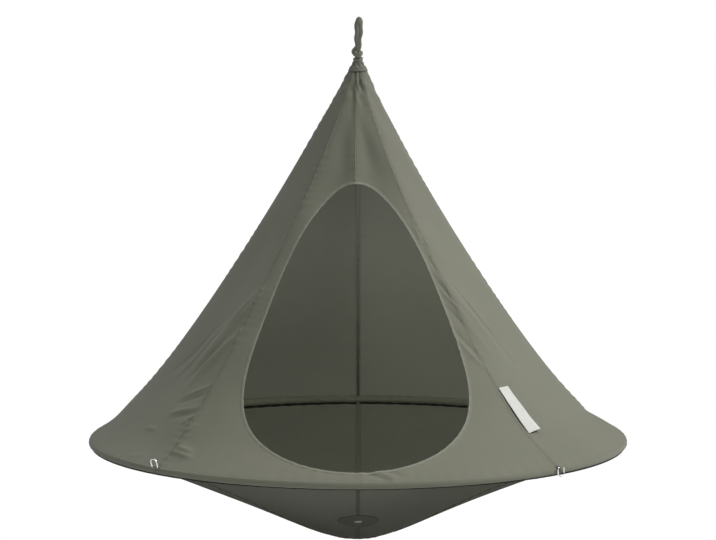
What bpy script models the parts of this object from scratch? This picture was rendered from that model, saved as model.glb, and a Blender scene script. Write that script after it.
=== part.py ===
"""Hanging cone tent: a round rim hoop, a gored canopy above it, a gored bowl below it and a rope loop on top.

Metres, +Z up. The doorway faces -Y. The origin is the point where a hook bears on the inside of the
suspension loop. Heights in the functions below are measured from the plane of the rim hoop, and
azimuths from the doorway's centre line (-Y), positive towards +X.
"""
import math

import bmesh
import bpy
from mathutils import Matrix, Vector

# Gaps between pieces that touch
SEAM_GAP = 0.0003
FIT_GAP = 0.0003

# Rim hoop: a hollow pole inside a cloth hem, with ferrules and an elastic cord in the pole
RING_RADIUS = 0.7396
POLE_RADIUS = 0.008
POLE_WALL = 0.0012
FERRULE_WALL = 0.0014
FERRULE_LENGTH = 0.090
SHOCK_CORD_RADIUS = 0.002
HEM_CLOTH = 0.0020
POLE_SECTIONS = 4
RING_STEP = math.radians(9.0)
RING_SIDES = 8

# Canopy
GORES = 8
CANOPY_HEIGHT = 1.062
NECK_DROP = 0.023
NECK_RADIUS = 0.012
CANOPY_CLOTH = 0.0020
CANOPY_CURVE = 1.13
FLARE_REACH = 0.074
FLARE_FADE = 0.100
PANEL_FLATNESS = 0.85
FLATNESS_FADE = 0.15
SEAM_DRIFT = math.radians(18.0)
SEAM_DRIFT_CURVE = 3
CANOPY_LEAN = 0.008
LEAN_START = 0.030
LEAN_RUN = 0.090
FRONT_FLATNESS = 0.45
FRONT_FLAT_START = 0.55
FRONT_FLAT_RUN = 0.20
NECK_FADE = 6

# Tension folds: start azimuth and height, end azimuth and height, half width, rise
TENSION_FOLDS = (
    (-66, 0.19, -44, 0.46, 0.024, 0.010),
    (-60, 0.17, -45, 0.35, 0.020, 0.007),
    (60, 0.24, 42, 0.52, 0.024, 0.010),
    (54, 0.24, 43, 0.42, 0.020, 0.006),
)

# Doorway: an egg-shaped outline in front view, half width = share * hoop radius * sin(t) * (1 - taper cos t
# + squareness cos^2 t - droop cos^3 t), with t from 0 at the top to pi at the bottom
DOOR_TOP = 0.739
DOOR_BOTTOM = 0.030
DOOR_SHIFT = -0.006
DOOR_WIDTH_SHARE = 0.334
DOOR_TAPER = 0.549
DOOR_SQUARENESS = 0.400
DOOR_DROOP = 0.246
DOOR_POINTS = 56
BINDING_RADIUS = 0.004
BINDING_GAP = 0.0005
SEAM_TAPE_WIDTH = 0.009
SEAM_TAPE_CLOTH = 0.0010
SEAM_TAPE_GAP = 0.0008

# Bowl
BOWL_DEPTH = 0.2775
BOWL_SLOPE_RATIO = 0.508
BOWL_TIP = 0.112
BOWL_RIM_CURVE = 6
BOWL_CLOTH = 0.0020
BOWL_INSET = 0.0010
BOWL_OPEN_RADIUS = 0.045
BASE_PATCH_RADIUS = 0.068
PATCH_CLOTH = 0.0012
DRAIN_REACH = 0.295
DRAIN_PATCH_RADIUS = 0.055
EYELET_BORE = 0.0050
EYELET_BARREL = 0.0062
EYELET_FLANGE = 0.0105
EYELET_SHEET = 0.0010

# Rim rings: four wire rings in cloth tabs, on the front and rear diagonal seams
GUY_AZIMUTHS = {"front_left": -45, "front_right": 45, "rear_right": 135, "rear_left": -135}
GUY_WIRE_RADIUS = 0.002
GUY_RING_WIDTH = 0.023
GUY_RING_HEIGHT = 0.024
GUY_CORNER_RADIUS = 0.004
GUY_REACH = 0.0175
GUY_TAB_WIDTH = 0.013
GUY_TAB_CLOTH = 0.0020
GUY_TAIL_END = 0.0028
GUY_RAISED = {"front_left": math.radians(165)}

# Label strip on the front right diagonal seam
LABEL_LENGTH = 0.152
LABEL_WIDTH = 0.044
LABEL_CLOTH = 0.0010
LABEL_TOP_AZIMUTH = math.radians(45.3)
LABEL_FOOT_AZIMUTH = math.radians(45.6)
LABEL_FOOT_HEIGHT = 0.087
LABEL_CURL = 0.007
LABEL_GAP = 0.0008

# Suspension: rope loop, knot and gathered collar
ROPE_RADIUS = 0.0055
LOOP_REACH = 0.109
LOOP_EYE_RADIUS = 0.0195
LOOP_FOOT_SPREAD = 0.00625
LOOP_FOOT_RISE = 0.0070
LOOP_STRAND_STEPS = 24
LOOP_TURN = math.radians(-70)
LOOP_BULGE = 0.010
LOOP_BULGE_HEIGHT = 0.040
KNOT_DROP = 0.002
KNOT_RADIUS = 0.0135
WRAP_RADIUS = 0.0092
WRAP_ROPE_RADIUS = 0.0045
WRAP_RISE = 0.0046
COLLAR_CUP_RADIUS = 0.0030
COLLAR_LIP = 0.0012

# Worked out from the sizes above
GORE_ANGLE = 2 * math.pi / GORES
HEM_INNER = POLE_RADIUS + FIT_GAP
HEM_RADIUS = HEM_INNER + HEM_CLOTH
CANOPY_FOOT = HEM_RADIUS + FIT_GAP
CONE_REACH = RING_RADIUS - NECK_RADIUS - FLARE_REACH
BOWL_EDGE = RING_RADIUS - BOWL_INSET
BOWL_EDGE_DROP = HEM_RADIUS + FIT_GAP
NECK_HEIGHT = CANOPY_HEIGHT - NECK_DROP
KNOT_CENTRE = CANOPY_HEIGHT - KNOT_DROP
GUY_PIVOT_RADIUS = RING_RADIUS + GUY_REACH
GUY_PIVOT_HEIGHT = HEM_RADIUS + FIT_GAP + GUY_TAB_CLOTH / 2

GORE_NAMES = (
    "front_right",
    "right_front",
    "right_rear",
    "rear_right",
    "rear_left",
    "left_rear",
    "left_front",
    "front_left",
)
FOLDED_GORES = ("right_front", "left_front")
DOOR_GORES = ("front_right", "front_left")
FOLDED_COLUMNS = 10
DOOR_COLUMNS = 8
PLAIN_COLUMNS = 5


# Scene helpers
def clear_scene():
    """Remove the startup objects."""
    for obj in list(bpy.data.objects):
        bpy.data.objects.remove(obj, do_unlink=True)


def make_collection(name, render):
    """A collection in the scene; cutters go in one that does not render."""
    collection = bpy.data.collections.new(name)
    collection.hide_render = not render
    bpy.context.scene.collection.children.link(collection)
    return collection


def make_material(name, colour, roughness, metallic=0.0):
    """A Principled material with one colour, roughness and metallic value."""
    material = bpy.data.materials.new(name)
    material.use_nodes = True
    shader = material.node_tree.nodes["Principled BSDF"]
    shader.inputs["Base Color"].default_value = (*colour, 1.0)
    shader.inputs["Roughness"].default_value = roughness
    shader.inputs["Metallic"].default_value = metallic
    return material


def place(obj, collection, material, parent=None, location=(0, 0, 0), turn=(0, 0, 0)):
    """Put an object in a collection, with its material, parent, location and rotation."""
    for old in list(obj.users_collection):
        old.objects.unlink(obj)
    collection.objects.link(obj)
    if material is not None:
        obj.data.materials.clear()
        obj.data.materials.append(material)
    obj.parent = parent
    obj.location = location
    obj.rotation_euler = turn
    return obj


def mesh_object(name, mesh_data):
    """An object made from a bmesh, with its normals turned outwards."""
    bmesh.ops.recalc_face_normals(mesh_data, faces=mesh_data.faces)
    mesh = bpy.data.meshes.new(name)
    mesh_data.to_mesh(mesh)
    mesh_data.free()
    return bpy.data.objects.new(name, mesh)


def smooth(obj, angle=40):
    """Shade a round piece smooth, with its corners kept sharp."""
    obj.data.shade_smooth()
    obj.data.set_sharp_from_angle(angle=math.radians(angle))
    return obj


def cutter(obj, collection):
    """Mark an object as a cutter."""
    place(obj, collection, None, obj.parent, obj.location, obj.rotation_euler)
    obj.hide_render = True
    obj.display_type = "WIRE"
    return obj


def cut(obj, tool, operation="DIFFERENCE"):
    """Add a Boolean modifier with the exact solver."""
    modifier = obj.modifiers.new(operation.title(), "BOOLEAN")
    modifier.operation = operation
    modifier.solver = "EXACT"
    modifier.object = tool
    return obj


def sheet_object(name, point, columns, rows, thickness):
    """Cloth: an open grid of point(column, row), which is its inner face, thickened outwards."""
    grid = bmesh.new()
    verts = [[grid.verts.new(point(i, j)) for i in range(columns + 1)] for j in range(rows + 1)]
    for j in range(rows):
        for i in range(columns):
            grid.faces.new((verts[j][i], verts[j][i + 1], verts[j + 1][i + 1], verts[j + 1][i]))
    mesh = bpy.data.meshes.new(name)
    grid.to_mesh(mesh)
    grid.free()
    obj = bpy.data.objects.new(name, mesh)
    solidify = obj.modifiers.new("Cloth", "SOLIDIFY")
    solidify.thickness = thickness
    solidify.offset = 1.0
    return obj


def tube_curve(name, points, radius, closed, resolution=2):
    """A tube along points: a polygonal curve with a round bevel and filled caps."""
    curve = bpy.data.curves.new(name, "CURVE")
    curve.dimensions = "3D"
    curve.bevel_depth = radius
    curve.bevel_resolution = resolution
    curve.use_fill_caps = not closed
    spline = curve.splines.new("POLY")
    spline.points.add(len(points) - 1)
    for spot, point in zip(spline.points, points):
        spot.co = (*point, 1.0)
    spline.use_cyclic_u = closed
    return bpy.data.objects.new(name, curve)


def as_mesh(curve_obj, collection):
    """Turn a curve object into a mesh object of the same name, with its caps welded."""
    name = curve_obj.name
    collection.objects.link(curve_obj)
    graph = bpy.context.evaluated_depsgraph_get()
    graph.update()
    mesh = bpy.data.meshes.new_from_object(curve_obj.evaluated_get(graph))
    matrix = curve_obj.matrix_world.copy()
    bpy.data.objects.remove(curve_obj, do_unlink=True)
    welded = bmesh.new()
    welded.from_mesh(mesh)
    bmesh.ops.remove_doubles(welded, verts=welded.verts, dist=0.00001)
    bmesh.ops.recalc_face_normals(welded, faces=welded.faces)
    welded.to_mesh(mesh)
    welded.free()
    obj = bpy.data.objects.new(name, mesh)
    obj.matrix_world = matrix
    return obj


def turned_object(name, profile, steps, ring=False):
    """A profile of (radius, height) spun about Z: a solid from axis to axis, or a ring that closes."""
    mesh = bpy.data.meshes.new(name)
    edges = [(i, i + 1) for i in range(len(profile) - 1)]
    if ring:
        edges.append((len(profile) - 1, 0))
    mesh.from_pydata([(radius, 0, height) for radius, height in profile], edges, [])
    obj = bpy.data.objects.new(name, mesh)
    screw = obj.modifiers.new("Turn", "SCREW")
    screw.axis = "Z"
    screw.angle = 2 * math.pi
    screw.steps = steps
    screw.render_steps = steps
    screw.use_merge_vertices = True
    screw.merge_threshold = 0.00001
    return obj


# Rows of the canopy's grid: top of each band and how many rows it has
ROW_BANDS = ((0.12, 4), (0.54, 10), (0.75, 4), (NECK_HEIGHT, 3))


# Shapes
def front_direction(azimuth):
    """Unit vector in the hoop's plane, from the axis towards an azimuth."""
    return Vector((math.sin(azimuth), -math.cos(azimuth), 0))


def canopy_radius(height):
    """Radius of the canopy at a seam: a slightly hollow cone that flares out onto the hoop."""
    rise = height - CANOPY_FOOT
    share = min(rise / (CANOPY_HEIGHT - CANOPY_FOOT), 1.0)
    cone = CONE_REACH * (1 - share) ** CANOPY_CURVE
    return NECK_RADIUS + cone + FLARE_REACH * math.exp(-rise / FLARE_FADE)


def fold_rise(azimuth, height):
    """How far the tension folds lift the cloth: each is a ridge that fades out at both ends."""
    rise = 0.0
    for start, low, end, high, width, top in TENSION_FOLDS:
        reach = canopy_radius((low + high) / 2)
        along = Vector((math.radians(end - start) * reach, high - low))
        spot = Vector(((azimuth - math.radians(start)) * reach, height - low))
        share = spot.dot(along) / along.length_squared
        if 0 < share < 1:
            off = (spot - share * along).length
            rise += top * 4 * share * (1 - share) * math.exp(-((off / width) ** 2))
    return rise


def eased(share):
    """A share held between 0 and 1, with a smooth start and end."""
    share = min(max(share, 0.0), 1.0)
    return share * share * (3 - 2 * share)


def canopy_point(azimuth, height):
    """A point on the canopy's inner face. Panels flatten between the seams away from the hoop, the
    diagonal seams draw towards the front and rear as they climb, the two front panels flatten into
    one above the doorway, and the body leans a little to -X between the hoop and the neck."""
    share = (height - CANOPY_FOOT) / (CANOPY_HEIGHT - CANOPY_FOOT)
    climb = min((height - CANOPY_FOOT) / (NECK_HEIGHT - CANOPY_FOOT), 1.0)
    below_neck = 1 - climb ** NECK_FADE
    from_front = (azimuth + math.pi) % (2 * math.pi) - math.pi
    front = FRONT_FLATNESS * eased((height - FRONT_FLAT_START) / FRONT_FLAT_RUN) * below_neck
    front_share = max(0.0, 1 - (from_front / GORE_ANGLE) ** 2)
    lean = CANOPY_LEAN * eased((height - LEAN_START) / LEAN_RUN) * below_neck
    turned = azimuth - SEAM_DRIFT * share ** SEAM_DRIFT_CURVE * math.sin(2 * azimuth)
    across = (azimuth / GORE_ANGLE) % 1.0
    flat = PANEL_FLATNESS * (1 - math.exp(-(height - CANOPY_FOOT) / FLATNESS_FADE))
    sink = flat * (1 - math.cos(GORE_ANGLE / 2)) * (1 - (2 * across - 1) ** 2)
    sink += front * (1 - math.cos(GORE_ANGLE)) * front_share
    radius = canopy_radius(height) * (1 - sink) + fold_rise(azimuth, height)
    return radius * front_direction(turned) + Vector((-lean, 0, height))


def canopy_normal(azimuth, height):
    """Outward normal of the canopy, from two short steps over its surface."""
    step = 0.001
    around = canopy_point(azimuth + step, height) - canopy_point(azimuth - step, height)
    upwards = canopy_point(azimuth, height + step) - canopy_point(azimuth, height - step)
    return around.cross(upwards).normalized()


def canopy_azimuth(x, height):
    """The azimuth, near the front, of the canopy point that lies x to the right at a height."""
    azimuth = 0.0
    for _ in range(40):
        azimuth += (x - canopy_point(azimuth, height).x) / canopy_radius(height)
    return azimuth


def bowl_height(radius):
    """Height of the bowl's inner face: a shallow cone with a rounded tip that eases up to the hoop."""
    def cone(reach):
        return BOWL_SLOPE_RATIO * (math.hypot(reach, BOWL_TIP) - BOWL_TIP) - BOWL_DEPTH

    ease = cone(BOWL_EDGE) + BOWL_EDGE_DROP
    return cone(radius) - ease * (radius / BOWL_EDGE) ** BOWL_RIM_CURVE


def bowl_point(azimuth, radius):
    """A point on the bowl's inner face, by azimuth and radius."""
    return radius * front_direction(azimuth) + Vector((0, 0, bowl_height(radius)))


def bowl_normal(azimuth, radius):
    """Outward (downward) normal of the bowl."""
    step = 0.001
    slope = (bowl_height(radius + step) - bowl_height(radius - step)) / (2 * step)
    return (slope * front_direction(azimuth) - Vector((0, 0, 1))).normalized()


def door_outline(outwards):
    """The doorway's outline in front view, as (x, height) points, moved outwards by a distance."""
    middle = (DOOR_TOP + DOOR_BOTTOM) / 2
    half = (DOOR_TOP - DOOR_BOTTOM) / 2

    def spot(t):
        c = math.cos(t)
        swell = 1 - DOOR_TAPER * c + DOOR_SQUARENESS * c * c - DOOR_DROOP * c ** 3
        half_width = DOOR_WIDTH_SHARE * RING_RADIUS * math.sin(t) * swell
        return Vector((DOOR_SHIFT + half_width, middle + half * c))

    points = []
    for i in range(DOOR_POINTS):
        t = 2 * math.pi * (i + 0.5) / DOOR_POINTS
        along = (spot(t + 0.001) - spot(t - 0.001)).normalized()
        points.append(spot(t) + outwards * Vector((-along.y, along.x)))
    return points


def ring_path(start, end):
    """Centre line of the hoop between two azimuths: chords whose middles lie on the hoop's radius."""
    corner = RING_RADIUS / math.cos(RING_STEP / 2)
    first = math.ceil((start - RING_STEP / 2) / RING_STEP)
    last = math.floor((end - RING_STEP / 2) / RING_STEP)
    corners = [(k + 0.5) * RING_STEP for k in range(first, last + 1)]

    def on_chord(azimuth):
        middle = round(azimuth / RING_STEP) * RING_STEP
        return RING_RADIUS / math.cos(azimuth - middle) * front_direction(azimuth), middle

    return [on_chord(start)] + [(corner * front_direction(a), a) for a in corners] + [on_chord(end)]


def ring_section(name, start, end, outer, inner):
    """A hollow length of the hoop, square at both ends, between two azimuths. Its section has flat
    sides, whose middles lie at the outer and inner radius."""
    path = ring_path(start, end)
    tube = bmesh.new()
    loops = []
    for flat in (outer, inner):
        radius = flat / math.cos(math.pi / RING_SIDES)
        rings = []
        for centre, facing in path:
            outwards = front_direction(facing)
            stretch = radius / math.cos(RING_STEP / 2)
            if abs(facing / RING_STEP - round(facing / RING_STEP)) < 0.01:
                stretch = radius
            ring = []
            for k in range(RING_SIDES):
                turn = 2 * math.pi * (k + 0.5) / RING_SIDES
                spot = centre + outwards * stretch * math.cos(turn)
                ring.append(tube.verts.new(spot + Vector((0, 0, radius * math.sin(turn)))))
            rings.append(ring)
        loops.append(rings)
    for rings in loops:
        for near, far in zip(rings, rings[1:]):
            for k in range(RING_SIDES):
                after = (k + 1) % RING_SIDES
                tube.faces.new((near[k], near[after], far[after], far[k]))
    for end_index in (0, -1):
        wide, narrow = loops[0][end_index], loops[1][end_index]
        for k in range(RING_SIDES):
            after = (k + 1) % RING_SIDES
            tube.faces.new((wide[k], wide[after], narrow[after], narrow[k]))
    return smooth(mesh_object(name, tube))


# Pieces of the rim hoop
def build_hoop(parts, materials, tent):
    """Pole sections with their ferrules, the elastic cord that lies in them, and the hem round them."""
    quarter = 2 * math.pi / POLE_SECTIONS
    gap = FIT_GAP / RING_RADIUS
    ferrule_outer = POLE_RADIUS - POLE_WALL - FIT_GAP
    ferrule_half = FERRULE_LENGTH / 2 / RING_RADIUS
    sides = ("right_front", "right_rear", "left_rear", "left_front")
    joints = ("front", "right", "rear", "left")
    hems = ("right", "rear", "left", "front")
    for k in range(POLE_SECTIONS):
        start = k * quarter
        pole = ring_section(
            "pole_" + sides[k],
            start + gap,
            start + quarter - gap,
            POLE_RADIUS,
            POLE_RADIUS - POLE_WALL,
        )
        place(pole, parts, materials["pole"], *tent)
        ferrule = ring_section(
            "ferrule_" + joints[k],
            start - ferrule_half,
            start + ferrule_half,
            ferrule_outer,
            ferrule_outer - FERRULE_WALL,
        )
        place(ferrule, parts, materials["ferrule"], *tent)
        hem = ring_section(
            "hem_" + hems[k],
            start + quarter / 2 + gap,
            start + 3 * quarter / 2 - gap,
            HEM_RADIUS,
            HEM_INNER,
        )
        place(hem, parts, materials["hem"], *tent)
    steps = round(2 * math.pi / RING_STEP)
    corner = RING_RADIUS / math.cos(RING_STEP / 2)
    sag = Vector((0, 0, SHOCK_CORD_RADIUS + FIT_GAP - (ferrule_outer - FERRULE_WALL)))
    cord_points = [corner * front_direction((k + 0.5) * RING_STEP) + sag for k in range(steps)]
    cord = tube_curve("shock_cord", cord_points, SHOCK_CORD_RADIUS, True, 1)
    place(cord, parts, materials["cord"], *tent)


# Canopy
def row_heights(foot):
    """Heights of the canopy's rows above a foot height, closest over the flare and the folds."""
    heights = [CANOPY_FOOT]
    for top, count in ROW_BANDS:
        low = heights[-1]
        heights += [low + (top - low) * (k + 1) / count for k in range(count)]
    return [height for height in heights if height >= foot]


def gore_columns(index):
    """How many columns of facets a gore has."""
    name = GORE_NAMES[index % GORES]
    if name in FOLDED_GORES:
        return FOLDED_COLUMNS
    if name in DOOR_GORES:
        return DOOR_COLUMNS
    return PLAIN_COLUMNS


def seam_azimuth(index):
    """A seam's azimuth, between minus pi and pi."""
    azimuth = index * GORE_ANGLE
    return azimuth - 2 * math.pi if azimuth > math.pi else azimuth


def build_gore(name, index):
    """One canopy gore between two seams, from the hoop up to the gathered neck."""
    heights = row_heights(CANOPY_FOOT)
    start = index * GORE_ANGLE
    columns = gore_columns(index)

    def point(i, j):
        height = heights[j]
        trim = SEAM_GAP / canopy_radius(height)
        azimuth = start + trim + (GORE_ANGLE - 2 * trim) * i / columns
        if azimuth > math.pi:
            azimuth -= 2 * math.pi
        return canopy_point(azimuth, height)

    return sheet_object("canopy_" + name, point, columns, len(heights) - 1, CANOPY_CLOTH)


def build_door_cutter(cutters, tent):
    """A prism through the front of the canopy, just outside the doorway's binding."""
    outline = door_outline(2 * BINDING_RADIUS + BINDING_GAP)
    prism = bmesh.new()
    near = -RING_RADIUS - 0.1
    face = prism.faces.new([prism.verts.new((x, near, height)) for x, height in outline])
    swept = bmesh.ops.extrude_face_region(prism, geom=[face])
    moved = [item for item in swept["geom"] if isinstance(item, bmesh.types.BMVert)]
    bmesh.ops.translate(prism, verts=moved, vec=(0, -near - 0.05, 0))
    obj = mesh_object("door_cutter", prism)
    obj.parent, obj.location = tent[0], tent[1]
    return cutter(obj, cutters)


def build_canopy(parts, cutters, materials, tent):
    """Eight gores; the two at the front share the doorway."""
    door = build_door_cutter(cutters, tent)
    for index, name in enumerate(GORE_NAMES):
        gore = build_gore(name, index)
        if name in DOOR_GORES:
            cut(gore, door)
        place(gore, parts, materials["canopy"], *tent)


def build_binding(parts, materials, tent):
    """Bound edge of the doorway: a bead that follows the canopy's middle layer."""
    points = []
    for x, height in door_outline(BINDING_RADIUS):
        azimuth = canopy_azimuth(x, height)
        middle = canopy_normal(azimuth, height) * CANOPY_CLOTH / 2
        points.append(canopy_point(azimuth, height) + middle)
    binding = tube_curve("door_binding", points, BINDING_RADIUS, True, 1)
    place(binding, parts, materials["binding"], *tent)


def build_seam_tapes(parts, materials, tent):
    """A tape inside each canopy seam, which holds its two gores together."""
    names = ("front", "front_right", "right", "rear_right", "rear", "rear_left", "left", "front_left")
    door_edge = DOOR_TOP + 2 * BINDING_RADIUS
    for index, name in enumerate(names):
        foot = door_edge + 0.010 if name == "front" else CANOPY_FOOT + 0.010
        heights = row_heights(foot)[:-1]

        def point(i, j, index=index, heights=heights):
            height = heights[j]
            seam = seam_azimuth(index)
            side = 2 * i - 1
            facet = side * GORE_ANGLE / gore_columns(index + i - 1)
            edge = canopy_point(seam, height)
            along = (canopy_point(seam + facet, height) - edge).normalized()
            upwards = canopy_point(seam, height + 0.001) - edge
            depth = side * along.cross(upwards).normalized() * (SEAM_TAPE_CLOTH + SEAM_TAPE_GAP)
            return edge + along * SEAM_TAPE_WIDTH / 2 - depth

        tape = sheet_object("seam_tape_" + name, point, 1, len(heights) - 1, SEAM_TAPE_CLOTH)
        place(tape, parts, materials["tape"], *tent)


def build_label(parts, materials, tent):
    """A blank woven strip along the front right seam, with its lower end curled off the cloth."""
    columns, rows = 2, 9
    middle = LABEL_FOOT_HEIGHT + LABEL_LENGTH / 3
    step = 0.001
    slant = canopy_point(LABEL_FOOT_AZIMUTH, middle + step) - canopy_point(LABEL_FOOT_AZIMUTH, middle)
    rise = LABEL_LENGTH * step / slant.length

    def point(i, j):
        share = j / rows
        height = LABEL_FOOT_HEIGHT + rise * share
        across = (i / columns) * LABEL_WIDTH / canopy_radius(height)
        azimuth = LABEL_FOOT_AZIMUTH + (LABEL_TOP_AZIMUTH - LABEL_FOOT_AZIMUTH) * share + across
        lift = CANOPY_CLOTH + LABEL_GAP + LABEL_CURL * max(0.0, 1 - share * 3) ** 2 * (i / columns)
        return canopy_point(azimuth, height) + canopy_normal(azimuth, height) * lift

    label = sheet_object("label_strip", point, columns, rows, LABEL_CLOTH)
    place(label, parts, materials["label"], *tent)


# Bowl
def build_bowl(parts, cutters, materials, tent):
    """Eight bowl gores, the patch under their tips, and the drain eyelet on its own patch."""
    hole = eyelet_hole(cutters, tent)
    columns, rows = 5, 10
    for index, name in enumerate(GORE_NAMES):
        start = index * GORE_ANGLE

        def point(i, j, start=start):
            reach = BOWL_OPEN_RADIUS + (BOWL_EDGE - BOWL_OPEN_RADIUS) * (1 - j / rows) ** 1.1
            trim = SEAM_GAP / reach
            azimuth = start + trim + (GORE_ANGLE - 2 * trim) * i / columns
            return bowl_point(azimuth, reach)

        gore = sheet_object("bowl_" + name, lambda i, j: point(columns - i, j), columns, rows, BOWL_CLOTH)
        if name in DOOR_GORES:
            cut(gore, hole)
        place(gore, parts, materials["bowl"], *tent)
    patch = disc_patch("base_patch", Vector((0, 0)), BASE_PATCH_RADIUS)
    place(patch, parts, materials["bowl"], *tent)
    drain = disc_patch("drain_patch", Vector((0, -DRAIN_REACH)), DRAIN_PATCH_RADIUS)
    place(cut(drain, hole), parts, materials["patch"], *tent)
    build_eyelet(parts, materials, tent)


def disc_patch(name, centre, radius):
    """A round cloth patch that lies against the bowl's outer face."""
    rings, steps = 4, 24
    disc = bmesh.new()
    rows = []
    for ring in range(1, rings + 1):
        row = []
        for k in range(steps):
            turn = 2 * math.pi * k / steps
            spot = centre + radius * ring / rings * Vector((math.cos(turn), math.sin(turn)))
            reach = spot.length
            azimuth = math.atan2(spot.x, -spot.y)
            lie = bowl_normal(azimuth, reach) * (BOWL_CLOTH + 2 * FIT_GAP)
            row.append(disc.verts.new(bowl_point(azimuth, reach) + lie))
        rows.append(row)
    middle = centre.length
    lie = bowl_normal(0, middle) * (BOWL_CLOTH + 2 * FIT_GAP)
    hub = disc.verts.new(bowl_point(0, middle) + lie)
    for k in range(steps):
        after = (k + 1) % steps
        disc.faces.new((hub, rows[0][after], rows[0][k]))
        for near, far in zip(rows, rows[1:]):
            disc.faces.new((near[k], near[after], far[after], far[k]))
    mesh = bpy.data.meshes.new(name)
    disc.to_mesh(mesh)
    disc.free()
    obj = bpy.data.objects.new(name, mesh)
    cloth = obj.modifiers.new("Cloth", "SOLIDIFY")
    cloth.thickness = PATCH_CLOTH
    cloth.offset = 1.0
    return obj


def eyelet_frame():
    """Where the eyelet's axis meets the bowl's inner face, and its rotation: +Z points down and out."""
    spot = bowl_point(0, DRAIN_REACH)
    normal = bowl_normal(0, DRAIN_REACH)
    return spot, normal.to_track_quat("Z", "Y").to_euler()


def eyelet_hole(cutters, tent):
    """The round hole for the eyelet's barrel, through the patch and both front gores."""
    spot, turn = eyelet_frame()
    hole = bmesh.new()
    bmesh.ops.create_cone(
        hole,
        cap_ends=True,
        segments=20,
        radius1=EYELET_BARREL + 2 * FIT_GAP,
        radius2=EYELET_BARREL + 2 * FIT_GAP,
        depth=0.030,
    )
    obj = mesh_object("eyelet_hole", hole)
    obj.parent = tent[0]
    obj.location = Vector(tent[1]) + spot
    obj.rotation_euler = turn
    return cutter(obj, cutters)


def build_eyelet(parts, materials, tent):
    """A rolled metal eyelet: a barrel through the cloth with a flange on each side."""
    spot, turn = eyelet_frame()
    below = BOWL_CLOTH + PATCH_CLOTH + 4 * FIT_GAP
    above = -2 * FIT_GAP
    profile = [
        (EYELET_BORE, below + EYELET_SHEET),
        (EYELET_FLANGE - 0.0015, below + EYELET_SHEET),
        (EYELET_FLANGE, below + 0.0004),
        (EYELET_FLANGE - 0.0006, below),
        (EYELET_BARREL, below),
        (EYELET_BARREL, above),
        (EYELET_FLANGE - 0.0010, above),
        (EYELET_FLANGE - 0.0004, above - 0.0004),
        (EYELET_FLANGE - 0.0020, above - EYELET_SHEET),
        (EYELET_BORE, above - EYELET_SHEET),
    ]
    eyelet = smooth(turned_object("drain_eyelet", profile, 20, True))
    place(eyelet, parts, materials["steel"], tent[0], Vector(tent[1]) + spot, turn)


# Rim rings
def ring_outline():
    """Centre line of a rim ring: a straight bar, two legs and a half round, as (across, down) points."""
    half = GUY_RING_WIDTH / 2
    corner = GUY_CORNER_RADIUS
    points = []
    for k in range(4):
        turn = math.pi / 2 * k / 3
        points.append((-half + corner - corner * math.sin(turn), corner - corner * math.cos(turn)))
    for k in range(9):
        turn = math.pi * k / 8
        points.append((-half * math.cos(turn), GUY_RING_HEIGHT - half + half * math.sin(turn)))
    for k in range(4):
        turn = math.pi / 2 * k / 3
        points.append((half - corner + corner * math.cos(turn), corner - corner * math.sin(turn)))
    return points


def tab_outline():
    """A tab's side view, (outwards, up) from the ring's bar: a loop round the bar and a flat tail."""
    loop = GUY_WIRE_RADIUS + 2 * FIT_GAP + GUY_TAB_CLOTH
    half = GUY_TAB_CLOTH / 2
    open_angle = math.asin(half / loop)
    points = []
    for k in range(15):
        turn = math.pi - open_angle - (2 * math.pi - 2 * open_angle) * k / 14
        points.append((loop * math.cos(turn), loop * math.sin(turn)))
    tail = GUY_TAIL_END - GUY_REACH
    return points + [(tail, -half), (tail, half)]


def build_guy_rings(parts, materials, tent):
    """Four wire rings in cloth tabs at the rim, each free to swing about its own straight bar."""
    hole_radius = (GUY_WIRE_RADIUS + 2 * FIT_GAP) / math.cos(math.pi / 12)
    hole = [(hole_radius * math.cos(math.pi * k / 6), hole_radius * math.sin(math.pi * k / 6)) for k in range(12)]
    for name, degrees in GUY_AZIMUTHS.items():
        azimuth = math.radians(degrees)
        pivot = GUY_PIVOT_RADIUS * front_direction(azimuth) + Vector((0, 0, GUY_PIVOT_HEIGHT))
        spot = Vector(tent[1]) + pivot
        raised = GUY_RAISED.get(name, 0.0)
        points = [(across, 0, -down) for across, down in ring_outline()]
        ring = as_mesh(tube_curve("guy_ring_" + name, points, GUY_WIRE_RADIUS, True), parts)
        turn = (Matrix.Rotation(azimuth, 3, "Z") @ Matrix.Rotation(-raised, 3, "X")).to_euler()
        place(smooth(ring, 60), parts, materials["steel"], tent[0], spot, turn)
        tab = bpy.data.curves.new("guy_tab_" + name, "CURVE")
        tab.dimensions = "2D"
        tab.fill_mode = "BOTH"
        tab.extrude = GUY_TAB_WIDTH / 2
        for outline in (tab_outline(), hole):
            spline = tab.splines.new("POLY")
            spline.points.add(len(outline) - 1)
            for knot, (across, up) in zip(spline.points, outline):
                knot.co = (across, up, 0, 1)
            spline.use_cyclic_u = True
        strap = as_mesh(bpy.data.objects.new("guy_tab_" + name, tab), parts)
        strap_turn = (math.pi / 2, 0, azimuth - math.pi / 2)
        place(strap, parts, materials["tape"], tent[0], spot, strap_turn)


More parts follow.
